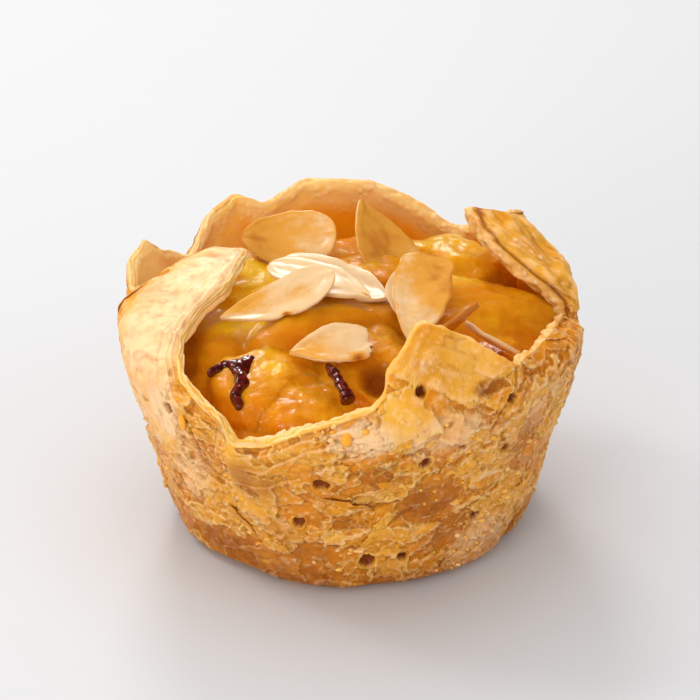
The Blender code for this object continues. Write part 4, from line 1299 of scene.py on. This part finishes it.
@dataclass
class AlmondTopping:
    """The toasted almond slices."""

    thickness: float = 0.85
    # Its relief in mm: the groove round its lens, its growth lines, its waves and its raised sides.
    groove_depth: float = 0.10
    growth_rise: float = 0.045
    wave_rise: float = 0.28
    side_rise: float = 0.35
    stations: int = 84
    sides: int = 22
    slices: tuple = (
        AlmondSlice("almond_slice_back_left", (-2.6, 14.9, 41.2), (-18.2, 15.2, 40.6), 10.6, -32, 0.9,
                    butt=3.2, point=0.6, edge_toast=0.14, base_toast=0.24,
                    spots=((0.55, -0.4, 0.8, 0.22), (0.3, 0.6, 0.5, 0.12), (0.85, 0.0, 0.3, 0.2))),
        AlmondSlice("almond_slice_left", (-2.8, -3.3, 43.8), (-21.0, -8.5, 38.4), 7.8, -20, 0.7,
                    shoulder=0.62, edge_toast=0.12, base_toast=0.04, nicks=((0.0, 1.0, 0.08, 0.06),),
                    spots=((0.55, -0.5, 0.5, 0.50), (-0.02, 1.0, 0.07, 1.3), (-0.3, 0.0, 0.3, 0.20))),
        AlmondSlice("almond_slice_middle", (-13.6, 5.7, 41.1), (3.0, -5.5, 40.9), 8.0, 6, -0.3,
                    edge_toast=0.10, base_toast=0.00, nicks=((0.85, -0.6, 0.16, 0.25),),
                    spots=((0.92, 0.2, 0.10, 1.0),)),
        AlmondSlice("almond_slice_under_middle", (-11.2, 9.3, 39.8), (5.8, -2.6, 38.9), 9.4, 12, 0.4,
                    edge_toast=0.12, base_toast=-0.05),
        AlmondSlice("almond_slice_front", (3.9, -14.9, 38.1), (-10.0, -16.6, 37.4), 7.8, -22, -0.5, 0.80,
                    shoulder=0.6, edge_toast=0.15, base_toast=0.06,
                    spots=((-0.5, 0.9, 0.16, 1.0), (0.5, 0.3, 0.6, 0.40))),
        AlmondSlice("almond_slice_back_right", (8.6, 9.2, 37.0), (0.8, 17.0, 46.6), 10.6, 0, 0.8,
                    shoulder=0.66, point=0.95, butt=12.0, edge_toast=0.10, base_toast=0.30,
                    spots=((0.1, 0.1, 0.7, 0.30), (-0.25, 0.3, 0.5, 0.20), (0.9, 0.0, 0.2, 0.2))),
        AlmondSlice("almond_slice_right", (12.2, 1.3, 44.9), (9.4, -14.8, 37.5), 9.6, -6, 0.3,
                    shoulder=0.70, point=0.75, butt=6.0, grain=(9.0, 2.0), edge_toast=0.30, base_toast=0.14,
                    spots=((-0.75, 0.1, 0.6, 0.32), (-0.3, 0.8, 0.5, 0.35), (0.97, 0.0, 0.08, 1.2))),
        AlmondSlice("almond_slice_under_right", (9.6, 2.5, 42.5), (8.9, -8.5, 37.8), 7.8, -4, 0.2,
                    edge_toast=0.15, base_toast=0.08),
        AlmondSlice("almond_slice_toasted", (9.0, -18.8, 38.3), (20.0, -12.4, 43.3), 5.4, -48, 0.3,
                    edge_toast=0.30, base_toast=0.85),
        AlmondSlice("almond_slice_edge", (17.9, -10.8, 39.0), (26.0, -18.0, 37.5), 5.4, -42, 0.3,
                    edge_toast=0.05, base_toast=0.25),
    )  # fmt: skip

    def outline(self, piece: AlmondSlice, share: np.ndarray) -> np.ndarray:
        """Gives the half width at each share of the half length: the tail at -1, the tip at +1."""
        away = clamp((1.0 - share) / 2.0)
        rise = np.sin(np.minimum(away / piece.shoulder, 1.0) * math.pi / 2) ** piece.point
        back = clamp((away - piece.shoulder) / (1.0 - piece.shoulder))
        return rise * np.sqrt(1.0 - back**piece.butt)

    def shape(self, piece: AlmondSlice, grain: Grain, seed: int) -> tuple[np.ndarray, np.ndarray, np.ndarray]:
        """Shapes one slice as rings round its section, from its tail to its tip.

        Args:
            piece: what it is like.
            grain: its own noise.
            seed: where that noise is read.

        Returns:
            For each point its share along, its share across, and its place along, across and up in mm.
        """
        along = (1.0 - np.cos(np.linspace(0.0, math.pi, self.stations))) / 2.0
        along = along * (1.0 + piece.kept) - piece.kept
        spread = np.sin(np.linspace(-math.pi / 2, math.pi / 2, self.sides))
        u, v = np.meshgrid(along, np.concatenate([spread, spread[::-1]]), indexing="ij")
        face = np.repeat([1.0, -1.0], self.sides)
        level = 0 * u + seed
        wide = self.outline(piece, u)
        wide = wide * (1.0 + 0.09 * grain.fractal(np.stack([u * 2.2, np.sign(v) * 1.7, level], -1)))
        for at_u, at_v, reach, depth in piece.nicks:
            wide = wide * (1.0 - 2.0 * depth * hump(u, at_u, reach) * (np.sign(v) == np.sign(at_v)))
        if piece.kept < 1.0:
            jag = grain.fractal(np.stack([v * 2.6, 0 * v, 0 * v + 3.0], -1))
            u = u + 0.16 * hump(u, -piece.kept, 0.16) * jag
        # Rounded at its rim, thinner at its ends, with a groove round its lens and fine growth lines.
        rim = clamp(1.0 - np.abs(v) ** 5) ** 0.2
        thin = clamp(1.0 - np.minimum(np.abs(u), 1.0) ** 8) ** 0.25
        groove = self.groove_depth * hump(np.hypot((u + 0.05) / 0.72, v / 0.60), 1.0, 0.10)
        growth = self.growth_rise * grain.fractal(np.stack([u * 2.5, v * 9.0, level], -1), 2)
        wave = self.wave_rise * grain.smooth(np.stack([u * 1.6, v * 1.3, level + 5.0], -1))
        lift = piece.bow * (2 * u**2 - 1) + wave + self.side_rise * v**2 * self.outline(piece, u)
        thick = rim * (self.thickness * 0.5 * (0.72 + 0.28 * thin) - groove + growth)
        half = math.dist(piece.tail, piece.tip) / 2
        return u, v, np.stack([u * half, v * wide * piece.width / 2, face * thick + lift], axis=-1)

    def place_slice(self, piece: AlmondSlice) -> bpy.types.Object:
        """Makes one slice, laid from its tail to its tip.

        Args:
            piece: what it is like.

        Returns:
            The slice.
        """
        seed = sum(map(ord, piece.name))
        grain = Grain(seed)
        tail, tip = Vector(piece.tail), Vector(piece.tip)
        along = (tip - tail).normalized()
        side = Vector((0, 0, 1)).cross(along).normalized()
        roll = Matrix.Rotation(math.radians(piece.roll), 3, along)
        axes = np.array([along, roll @ side, roll @ along.cross(side)])
        u, v, shape = self.shape(piece, grain, seed)
        points = np.array((tail + tip) / 2) + shape @ axes
        # Closed round its section, and with a point at each end.
        tail_end = points[0, [0, self.sides - 1]].mean(axis=0)
        points, u, v = (np.concatenate([grid, grid[:, :1]], axis=1) for grid in (points, u, v))
        ends = [np.broadcast_to(end, points[:1].shape) for end in (tail_end, points[-1].mean(axis=0))]
        points = np.concatenate([ends[0], points, ends[1]])
        u, v = np.concatenate([u[:1], u, u[-1:]]), np.concatenate([0 * v[:1], v, 0 * v[-1:]])
        border = np.maximum(smooth_step(0.84, 1.0, np.abs(v)), smooth_step(0.92, 1.0, np.abs(u)))
        toast = piece.base_toast + piece.edge_toast * border - 0.45 * smooth_step(0.975, 1.0, np.abs(v))
        for at_u, at_v, reach, amount in piece.spots:
            toast = toast + amount * hump(u, at_u, reach) * hump(v, at_v, reach * 1.6)
        striped = np.stack([u * piece.grain[0], v * piece.grain[1], 0 * u + seed], -1)
        return lay_sheet(piece.name + "_toasted", points, {"toast": toast + 0.10 * grain.fractal(striped, 2)})

    def build(self, material: bpy.types.Material) -> None:
        """Makes all the slices.

        Args:
            material: the toasted almond finish.
        """
        for piece in self.slices:
            finish_piece(self.place_slice(piece), material, "almond", piece.name)


@dataclass
class PeelCurls:
    """The two dark, sticky curls of peel."""

    voxel: float = 0.17
    raised: float = 0.55
    # Each curl's joints (place, radius) and the links between them.
    curls: tuple = (
        ("dark_peel_left",
         (((-23.2, -18.2, 33.3), 0.8), ((-20.2, -17.2, 34.5), 1.0), ((-17.6, -18.4, 34.4), 1.3),
          ((-15.7, -15.4, 35.0), 1.2), ((-17.1, -22.4, 33.7), 1.4), ((-18.4, -24.3, 33.0), 1.2),
          ((-17.4, -26.4, 31.8), 0.7)),
         ((0, 1), (1, 2), (2, 3), (2, 4), (4, 5), (5, 6))),
        ("dark_peel_right",
         (((-4.1, -18.4, 35.5), 0.7), ((-3.0, -20.8, 35.3), 0.9), ((-2.0, -23.2, 34.7), 1.0),
          ((-1.0, -26.0, 34.0), 1.2), ((-0.4, -27.2, 33.5), 1.6)),
         ((0, 1), (1, 2), (2, 3), (3, 4))),
    )  # fmt: skip

    def build(self, material: bpy.types.Material) -> None:
        """Makes both curls.

        Args:
            material: the caramelised peel finish.
        """
        grain = Grain(77)
        for name, joints, links in self.curls:
            places = np.array([place for place, _ in joints]) + (0.0, 0.0, self.raised)
            strand = mesh_from_arrays(name + "_sticky", places, links, [])
            pick(strand)
            skin = strand.modifiers.new("skin", "SKIN")
            for point, (_, radius) in zip(strand.data.skin_vertices[0].data, joints):
                point.radius = (radius * MM, radius * MM)
            bpy.ops.object.modifier_apply(modifier=skin.name)
            change(strand, "SUBSURF", levels=2, render_levels=2)
            change(strand, "REMESH", mode="VOXEL", voxel_size=self.voxel * MM)
            points = places_of(strand)
            rise = -0.02 + 0.30 * grain.fractal(points / 2.2, 2) + 0.03 * grain.smooth(points / 0.5)
            place_all(strand, points + read(strand, "normal") * rise[:, None])
            finish_piece(strand, material, "dark_peel", name)


# ---------------------------------------------------------------- finishes


class Graph:
    """A finish in the making: a material to which nodes are added one by one."""

    def __init__(self, name: str) -> None:
        """Starts the material."""
        self.material = bpy.data.materials.new(name)
        self.material.use_nodes = True
        self.tree = self.material.node_tree
        self.place = add(self.tree, Node.COORDINATES, out="Object")

    def field(self, name: str, out: str = "Fac") -> Any:
        """Reads an attribute of the mesh."""
        return add(self.tree, Node.ATTRIBUTE, {"attribute_name": name}, out=out)

    def noise(self, scale: float, detail: float, rough: float, at: Any = None) -> Any:
        """Adds noise from 0 to 1, at the mesh's own places or at others."""
        at = self.place if at is None else at
        inputs = {"Vector": at, "Scale": scale, "Detail": detail, "Roughness": rough}
        return add(self.tree, Node.NOISE, None, inputs)

    def math(self, operation: str, *values: Any, limit: bool = False) -> Any:
        """Adds a sum of sockets and numbers, kept from 0 to 1 if there is a limit."""
        settings = {"operation": operation, "use_clamp": limit}
        return add(self.tree, Node.MATH, settings, dict(enumerate(values)))

    def times(self, first: Any, second: Any) -> Any:
        """Multiplies two."""
        return self.math("MULTIPLY", first, second)

    def plus(self, value: Any, share: float, other: Any) -> Any:
        """Adds this share of a value to another."""
        return self.math("MULTIPLY_ADD", value, share, other)

    def ramp(self, value: Any, low: float, high: float, top: float = 1.0, bottom: float = 0.0,
             even: bool = False) -> Any:  # fmt: skip
        """Adds a ramp from bottom at low to top at high, eased at its ends unless it is even."""
        ends = {"From Min": low, "From Max": high, "To Min": bottom, "To Max": top}
        ease = "LINEAR" if even else "SMOOTHSTEP"
        return add(self.tree, Node.RANGE, {"interpolation_type": ease}, {"Value": value} | ends)

    def mix(self, share: Any, first: Any, second: Any) -> Any:
        """Mixes two colours, each a hex code or a socket."""
        first, second = (linear(colour) if isinstance(colour, str) else colour for colour in (first, second))
        return add(self.tree, Node.MIX, {"data_type": "RGBA"}, {0: share, 6: first, 7: second}, 2)

    def bump(self, strength: float, rise: float, height: Any, over: Any = None) -> Any:
        """Raises the surface by up to rise mm, on top of another bump if there is one."""
        inputs = {"Strength": strength, "Distance": rise * MM, "Height": height}
        return add(self.tree, Node.BUMP, None, inputs if over is None else inputs | {"Normal": over})

    def finish(self, **inputs: Any) -> bpy.types.Material:
        """Feeds the shader's inputs, named with _ for each space, and hands the material back."""
        shader = self.tree.nodes["Principled BSDF"]
        feed(self.tree, shader, {name.replace("_", " "): value for name, value in inputs.items()})
        return self.material


@dataclass(frozen=True)
class BakedPastry:
    """Baked laminated dough: dry golden skin, browner smooth layers below, cream cut layers."""

    # Pale and light are the skin's own colours, and they also paint highlights on tops, beads and torn lips.
    pale: str = "FFD29C"
    light: str = "F8BA48"
    gold: str = "EEA01C"
    amber: str = "E28A0C"
    # The under colours are the lower sheets' own, and they also paint shade in hollows and between beads.
    under: str = "D47A06"
    under_deep: str = "A85A00"
    # A yellower tint painted on the inner face, to offset the warm light bounced onto it from the apple.
    bounce_light_offset: str = "FFDC78"
    # Dark colours for painted shade: the shadow line outside torn sheets, and holes, tears and creases.
    gap: str = "803A00"
    hole: str = "8A3C00"
    cream: str = "FFDF9C"
    syrup: str = "FFA208"
    # Thin loose flakes are too thin to glow from within.
    glow: float = 0.25
    roughness: float = 0.34

    def layered(self, graph: Graph, tone: Any, broken: Any, patchy: Any) -> tuple[Any, Any]:
        """Colours the torn sheets of the skin, each over the one below.

        Args:
            graph: the finish in the making.
            tone, broken, patchy: how light the skin is, how torn, and where its sheets part.

        Returns:
            The colour, and the height of the sheets.
        """
        # Torn edges are jagged at 0.8 mm.
        jag, parted = graph.noise(1300, 4, 0.65), graph.ramp(patchy, 0.50, 0.66, 0.55)
        colour, steps = graph.mix(tone, self.under, self.amber), 0.0
        sheets = (
            ("inner", self.under, self.amber, 0.45),
            ("middle", self.amber, self.gold, 0.55),
            ("outer", self.gold, self.light, 0.60),
        )
        for name, dull, bright, cover in sheets:
            away = graph.plus(jag, 0.8, graph.field(name))
            sheet = graph.ramp(away, 0.32, 0.50)
            # Painted shadow: a dark line just outside each sheet's torn edge, where the sheets part.
            colour = graph.mix(graph.times(graph.ramp(away, 0.0, 0.36), parted), colour, self.gap)
            covered = graph.times(sheet, graph.ramp(broken, 0.0, 1.0, cover, 1.0, even=True))
            colour = graph.mix(covered, colour, graph.mix(tone, dull, bright))
            # A painted highlight along the thin torn lip of each sheet.
            lip = graph.times(sheet, graph.ramp(away, 0.85, 0.50, 0.34))
            colour = graph.mix(lip, colour, self.light)
            steps = graph.math("ADD", steps, sheet)
        return colour, steps

    def baked(self, graph: Graph, colour: Any, freckle: Any, broken: Any, browned_and_shade: Any) -> Any:
        """Paints shade into what lies low and a highlight onto what stands proud, at 1 mm and at 2 to 4 mm.

        Args:
            graph: the finish in the making.
            colour: the colour so far.
            freckle, broken, browned: the fine grain, how torn the skin is, and how brown it is, with its
                painted shade.

        Returns:
            The colour.
        """
        hollow = graph.field("hollow")
        # Painted shade: the low grain and the hollows of the relief go towards the deep under colour.
        low = graph.times(graph.ramp(freckle, 0.50, 0.32, 0.34), broken)
        damaged = graph.ramp(broken, 0.0, 1.0, 1.0, 0.3, even=True)
        sunk = graph.times(graph.ramp(hollow, 0.0, 1.0, 0.48), damaged)
        colour = graph.mix(graph.math("ADD", low, sunk, limit=True), colour, self.under_deep)
        # Painted highlight: the high grain and what stands proud go pale, less where the skin is brown.
        top, proud = graph.ramp(freckle, 0.53, 0.68, 0.40), graph.ramp(hollow, 0.0, -0.9, 0.40)
        unbrowned = graph.ramp(browned_and_shade, 0.0, 1.0, 0.45, 1.0, even=True)
        top = graph.times(graph.math("ADD", top, proud, limit=True), unbrowned)
        return graph.mix(top, colour, self.pale)

    def build(self) -> bpy.types.Material:
        """Makes the material."""
        graph = Graph("baked flaky pastry" if self.glow else "loose pastry flakes")
        names = ("tone", "browned_and_shade", "paled", "knob", "broken", "pit", "cut", "across", "wet")
        tone, browned_and_shade, paled, knob, broken, pit, cut, across, wet = map(graph.field, names)
        # The crust has a grain of 1.1 mm and of 0.35 mm, and it clouds over 5 mm and over 3 mm.
        freckle, grain = graph.noise(900, 4, 0.62), graph.noise(2800, 2, 0.6)
        cloud, patchy = graph.noise(210, 3, 0.55), graph.noise(330, 2, 0.5)
        tone = graph.ramp(graph.plus(cloud, 0.8, tone), 0.45, 1.35)
        colour, steps = self.layered(graph, tone, broken, patchy)
        # Grains 1.4 mm apart where the dough has puffed into beads.
        bead = add(graph.tree, Node.CELLS, None, {"Vector": graph.place, "Scale": 720.0})
        bead = graph.times(graph.ramp(bead, 0.55, 0.12), knob)
        # Scraps of the outer skin, 1 to 3 mm, lie all over it.
        scrap = graph.ramp(graph.plus(knob, 0.20, graph.noise(430, 6, 0.62)), 0.54, 0.62)
        scrap = graph.times(scrap, broken)
        colour = graph.mix(graph.times(scrap, 0.40), colour, self.light)
        steps = graph.plus(scrap, 0.6, steps)
        # Pale patches of the skin, with the painted highlights on the bead tops carried in the same field.
        colour = graph.mix(graph.ramp(graph.plus(patchy, 0.8, paled), 0.45, 1.30, 0.95), colour, self.pale)
        # The inner face is painted yellower, to offset the warm light bounced onto it from the apple.
        colour = graph.mix(graph.times(across, 0.55), colour, self.bounce_light_offset)
        dark = graph.ramp(cloud, 0.25, 0.6, 1.0, 0.2, even=True)
        # Brown patches, and the painted shade carried in the same field, go towards the deep under colour.
        colour = graph.mix(graph.times(browned_and_shade, dark), colour, self.under_deep)
        colour = self.baked(graph, colour, freckle, broken, browned_and_shade)
        # Painted highlight on the bead tops, and painted shade between the beads.
        colour = graph.mix(graph.times(bead, 0.45), colour, self.pale)
        between = graph.math("SUBTRACT", knob, bead, limit=True)
        colour = graph.mix(graph.times(between, 0.30), colour, self.under)
        # The cut edge shows puffed layers, about half a millimetre each, that come and go.
        layers = graph.math("SINE", graph.times(graph.plus(cloud, 0.8, across), 19.0))
        layers = graph.times(graph.ramp(layers, -1.0, 1.0, even=True), patchy)
        layers = graph.ramp(layers, 0.1, 0.4)
        shown = graph.times(graph.ramp(patchy, 0.38, 0.62, 1.0, 0.5), cut)
        colour = graph.mix(shown, colour, graph.mix(layers, self.cream, self.light))
        colour = graph.mix(graph.times(wet, 0.97), colour, self.syrup)
        # Painted shade inside the prick holes and tears, and along the fold's crease.
        colour = graph.mix(pit, colour, self.hole)
        rough = graph.ramp(freckle, 0.0, 1.0, self.roughness + 0.15, self.roughness - 0.10, even=True)
        relief = graph.bump(0.9, 0.20, steps)
        for strength, rise, height in ((0.9, 0.26, bead), (0.85, 0.13, freckle), (0.45, 0.07, grain)):
            relief = graph.bump(strength, rise, height, relief)
        return graph.finish(
            Base_Color=colour,
            Roughness=add(graph.tree, Node.MIX, None, {0: wet, 2: rough, 3: 0.22}),
            Specular_IOR_Level=0.26,
            Subsurface_Weight=self.glow,
            Subsurface_Radius=(1.0, 0.5, 0.2),
            Subsurface_Scale=1.2 * MM,
            Normal=graph.bump(0.6, 0.2, graph.times(layers, cut), relief),
        )


@dataclass(frozen=True)
class GlazedApple:
    """Apple cooked in syrup: soft and see-through at its surface, glossy, with a whitish pulpy grain."""

    # The deep colour is partly the syrup's own and partly painted shade in the hollows.
    deep: str = "E47A00"
    amber: str = "D88400"
    yellow: str = "FFC210"
    pulp: str = "DEA840"
    # The dark colour is painted shade in the pockets between the pieces.
    dark: str = "8E3C00"

    def build(self) -> bpy.types.Material:
        """Makes the material."""
        graph = Graph("cooked apple in syrup")
        names = ("sunk", "proud", "tone", "deep", "bright", "pulpy", "pocket")
        sunk, proud, tone, deep, bright, pulpy, pocket = map(graph.field, names)
        # Fibres 0.3 mm apart run along each block, and the flesh clouds over about 4 mm. Syrup beads 0.8 mm
        # apart make the wet glints.
        fibre = graph.noise(1.7, 4, 0.65, graph.field("strand", "Vector"))
        cloud, speck, bead = graph.noise(240, 3, 0.55), graph.noise(1500, 3, 0.7), graph.noise(1300, 2, 0.55)
        ripe = graph.plus(bright, 0.9, graph.plus(tone, 0.25, cloud))
        colour = graph.mix(graph.ramp(ripe, 0.45, 1.45), self.amber, self.yellow)
        # Painted shade: the hollows go deeper orange, as do the deep patches.
        low = graph.math("MULTIPLY", graph.math("MAXIMUM", sunk, deep), 0.65, limit=True)
        colour = graph.mix(low, colour, self.deep)
        # Painted highlight: what stands proud leans to the pale pulp colour, with the pulpy patches and
        # fibres.
        grain = graph.plus(proud, 0.18, graph.plus(pulpy, 0.35, fibre))
        colour = graph.mix(graph.ramp(grain, 0.78, 1.06, 0.70), colour, self.pulp)
        return graph.finish(
            # Painted shade: the pockets between the pieces are coloured dark.
            Base_Color=graph.mix(pocket, colour, self.dark),
            Roughness=graph.ramp(speck, 0.0, 1.0, 0.45, 0.25, even=True),
            IOR=1.40,
            Subsurface_Weight=0.7,
            Subsurface_Radius=(1.0, 0.45, 0.10),
            Subsurface_Scale=2.4 * MM,
            Specular_IOR_Level=0.25,
            Coat_Weight=1.0,
            Coat_Roughness=0.05,
            Normal=graph.bump(0.7, 0.16, speck, graph.bump(0.9, 0.26, fibre)),
            Coat_Normal=graph.bump(1.0, 0.20, bead, graph.bump(0.6, 0.07, fibre)),
        )


@dataclass(frozen=True)
class ToastedAlmond:
    """Flaked almond: cream and faintly waxy, toasted from gold to dark brown at its edges."""

    cream: str = "E6C08C"
    gold: str = "E09A2E"
    brown: str = "BC6A0C"
    burnt: str = "52240A"

    def build(self) -> bpy.types.Material:
        """Makes the material."""
        graph = Graph("toasted almond")
        # Clouds of 2.4 mm and a fine grain of 0.45 mm.
        cloud, fine = graph.noise(420, 4, 0.6), graph.noise(2200, 2, 0.6)
        toast = graph.plus(fine, 0.15, graph.plus(cloud, 0.55, graph.field("toast")))
        colour = self.cream
        toasts = ((self.gold, 0.38, 0.80), (self.brown, 0.80, 1.25), (self.burnt, 1.35, 1.75))
        for code, start, stop in toasts:
            colour = graph.mix(graph.ramp(toast, start, stop), colour, code)
        return graph.finish(
            Base_Color=colour,
            Roughness=0.30,
            Subsurface_Weight=0.12,
            Subsurface_Radius=(1.0, 0.65, 0.4),
            Subsurface_Scale=0.9 * MM,
            Coat_Weight=0.35,
            Coat_Roughness=0.22,
            Normal=graph.bump(0.35, 0.05, fine, graph.bump(0.5, 0.10, cloud)),
        )


@dataclass(frozen=True)
class DarkPeel:
    """Caramelised apple peel: nearly black red-brown, wet and sticky."""

    dark: str = "420803"
    red: str = "861C08"

    def build(self) -> bpy.types.Material:
        """Makes the material."""
        graph = Graph("caramelised peel")
        # Clouds of 1.1 mm.
        cloud = graph.noise(900, 3, 0.6)
        return graph.finish(
            Base_Color=graph.mix(graph.ramp(cloud, 0.40, 0.80), self.dark, self.red),
            Roughness=0.22,
            Coat_Weight=0.7,
            Coat_Roughness=0.08,
            Normal=graph.bump(0.5, 0.1, cloud),
        )


# ---------------------------------------------------------------- stage


@dataclass(frozen=True)
class Studio:
    """The pale floor, the soft lights and the camera at the photograph's angle."""

    elevation: float = 30.0
    distance: float = 0.6
    aim_height: float = 0.020
    lens: float = 188.23
    sensor: float = 36.0
    shift: tuple = (-2.6 / 700, 44.0 / 700)
    # Name, place and size in metres, power in watts, and whether wet and glossy faces mirror it.
    lights: tuple = (
        ("window", (-0.20, 0.36, 0.88), 1.3, 5.15, False),
        ("reflector", (-0.60, -0.84, 0.24), 1.0, 2.35, False),
        ("far wall", (0.80, -0.50, 0.42), 0.9, 1.7, False),
        ("lamp", (-0.14, 0.78, 0.60), 0.26, 2.5, True),
        ("side lamp", (-0.62, 0.30, 0.60), 0.18, 1.2, True),
        ("front lamp", (-0.52, -0.74, 0.26), 0.30, 1.8, True),
    )
    room: float = 0.68

    def camera(self) -> None:
        """Sets up the camera."""
        made = bpy.data.cameras.new("camera")
        made.lens, made.sensor_width = self.lens, self.sensor
        made.shift_x, made.shift_y = self.shift
        obj = bpy.data.objects.new("camera", made)
        bpy.context.scene.collection.objects.link(obj)
        rise = math.radians(self.elevation)
        back, up = self.distance * math.cos(rise), self.distance * math.sin(rise)
        obj.location = (0.0, -back, self.aim_height + up)
        obj.rotation_euler = (math.pi / 2 - rise, 0.0, 0.0)
        bpy.context.scene.camera = obj

    def light(self, name: str, place: tuple, size: float, power: float, mirrored: bool) -> None:
        """Adds one square light that faces the pie; only a mirrored one shows in wet and glossy faces."""
        made = bpy.data.lights.new(name, "AREA")
        made.shape, made.size, made.energy = "SQUARE", size, power
        obj = bpy.data.objects.new(name, made)
        obj.location, obj.visible_glossy = place, mirrored
        facing = Vector((0, 0, self.aim_height)) - Vector(place)
        obj.rotation_euler = facing.to_track_quat("-Z", "Y").to_euler()
        bpy.context.scene.collection.objects.link(obj)

    def build(self) -> None:
        """Adds the floor, the lights and the room's own light."""
        deselect()
        bpy.ops.mesh.primitive_plane_add(size=6.0)
        floor = name_piece("floor")
        board = Graph("matt white board").finish(Base_Color=linear("CFCFD0"), Roughness=0.6)
        floor.data.materials.append(board)
        for row in self.lights:
            self.light(*row)
        world = bpy.data.worlds.new("room")
        bpy.context.scene.world = world
        world.use_nodes = True
        room = {"Color": (1.0, 1.0, 1.0, 1.0), "Strength": self.room}
        feed(world.node_tree, world.node_tree.nodes["Background"], room)
        world.cycles_visibility.glossy = False
        bpy.context.scene.view_settings.view_transform = "Standard"


def main() -> None:
    """Builds the pie around the frame and reports each piece."""
    logging.basicConfig(level=logging.INFO, format="%(message)s")
    studio, case = Studio(), PastryCase()
    studio.camera()
    case.build(BakedPastry().build())
    thin_finish = BakedPastry(glow=0.0).build()
    LooseFlakes(case).build(thin_finish)
    RimSheets(case).build(thin_finish)
    AppleFilling().build(GlazedApple().build())
    AlmondTopping().build(ToastedAlmond().build())
    PeelCurls().build(DarkPeel().build())
    studio.build()


if __name__ == "__main__":
    main()
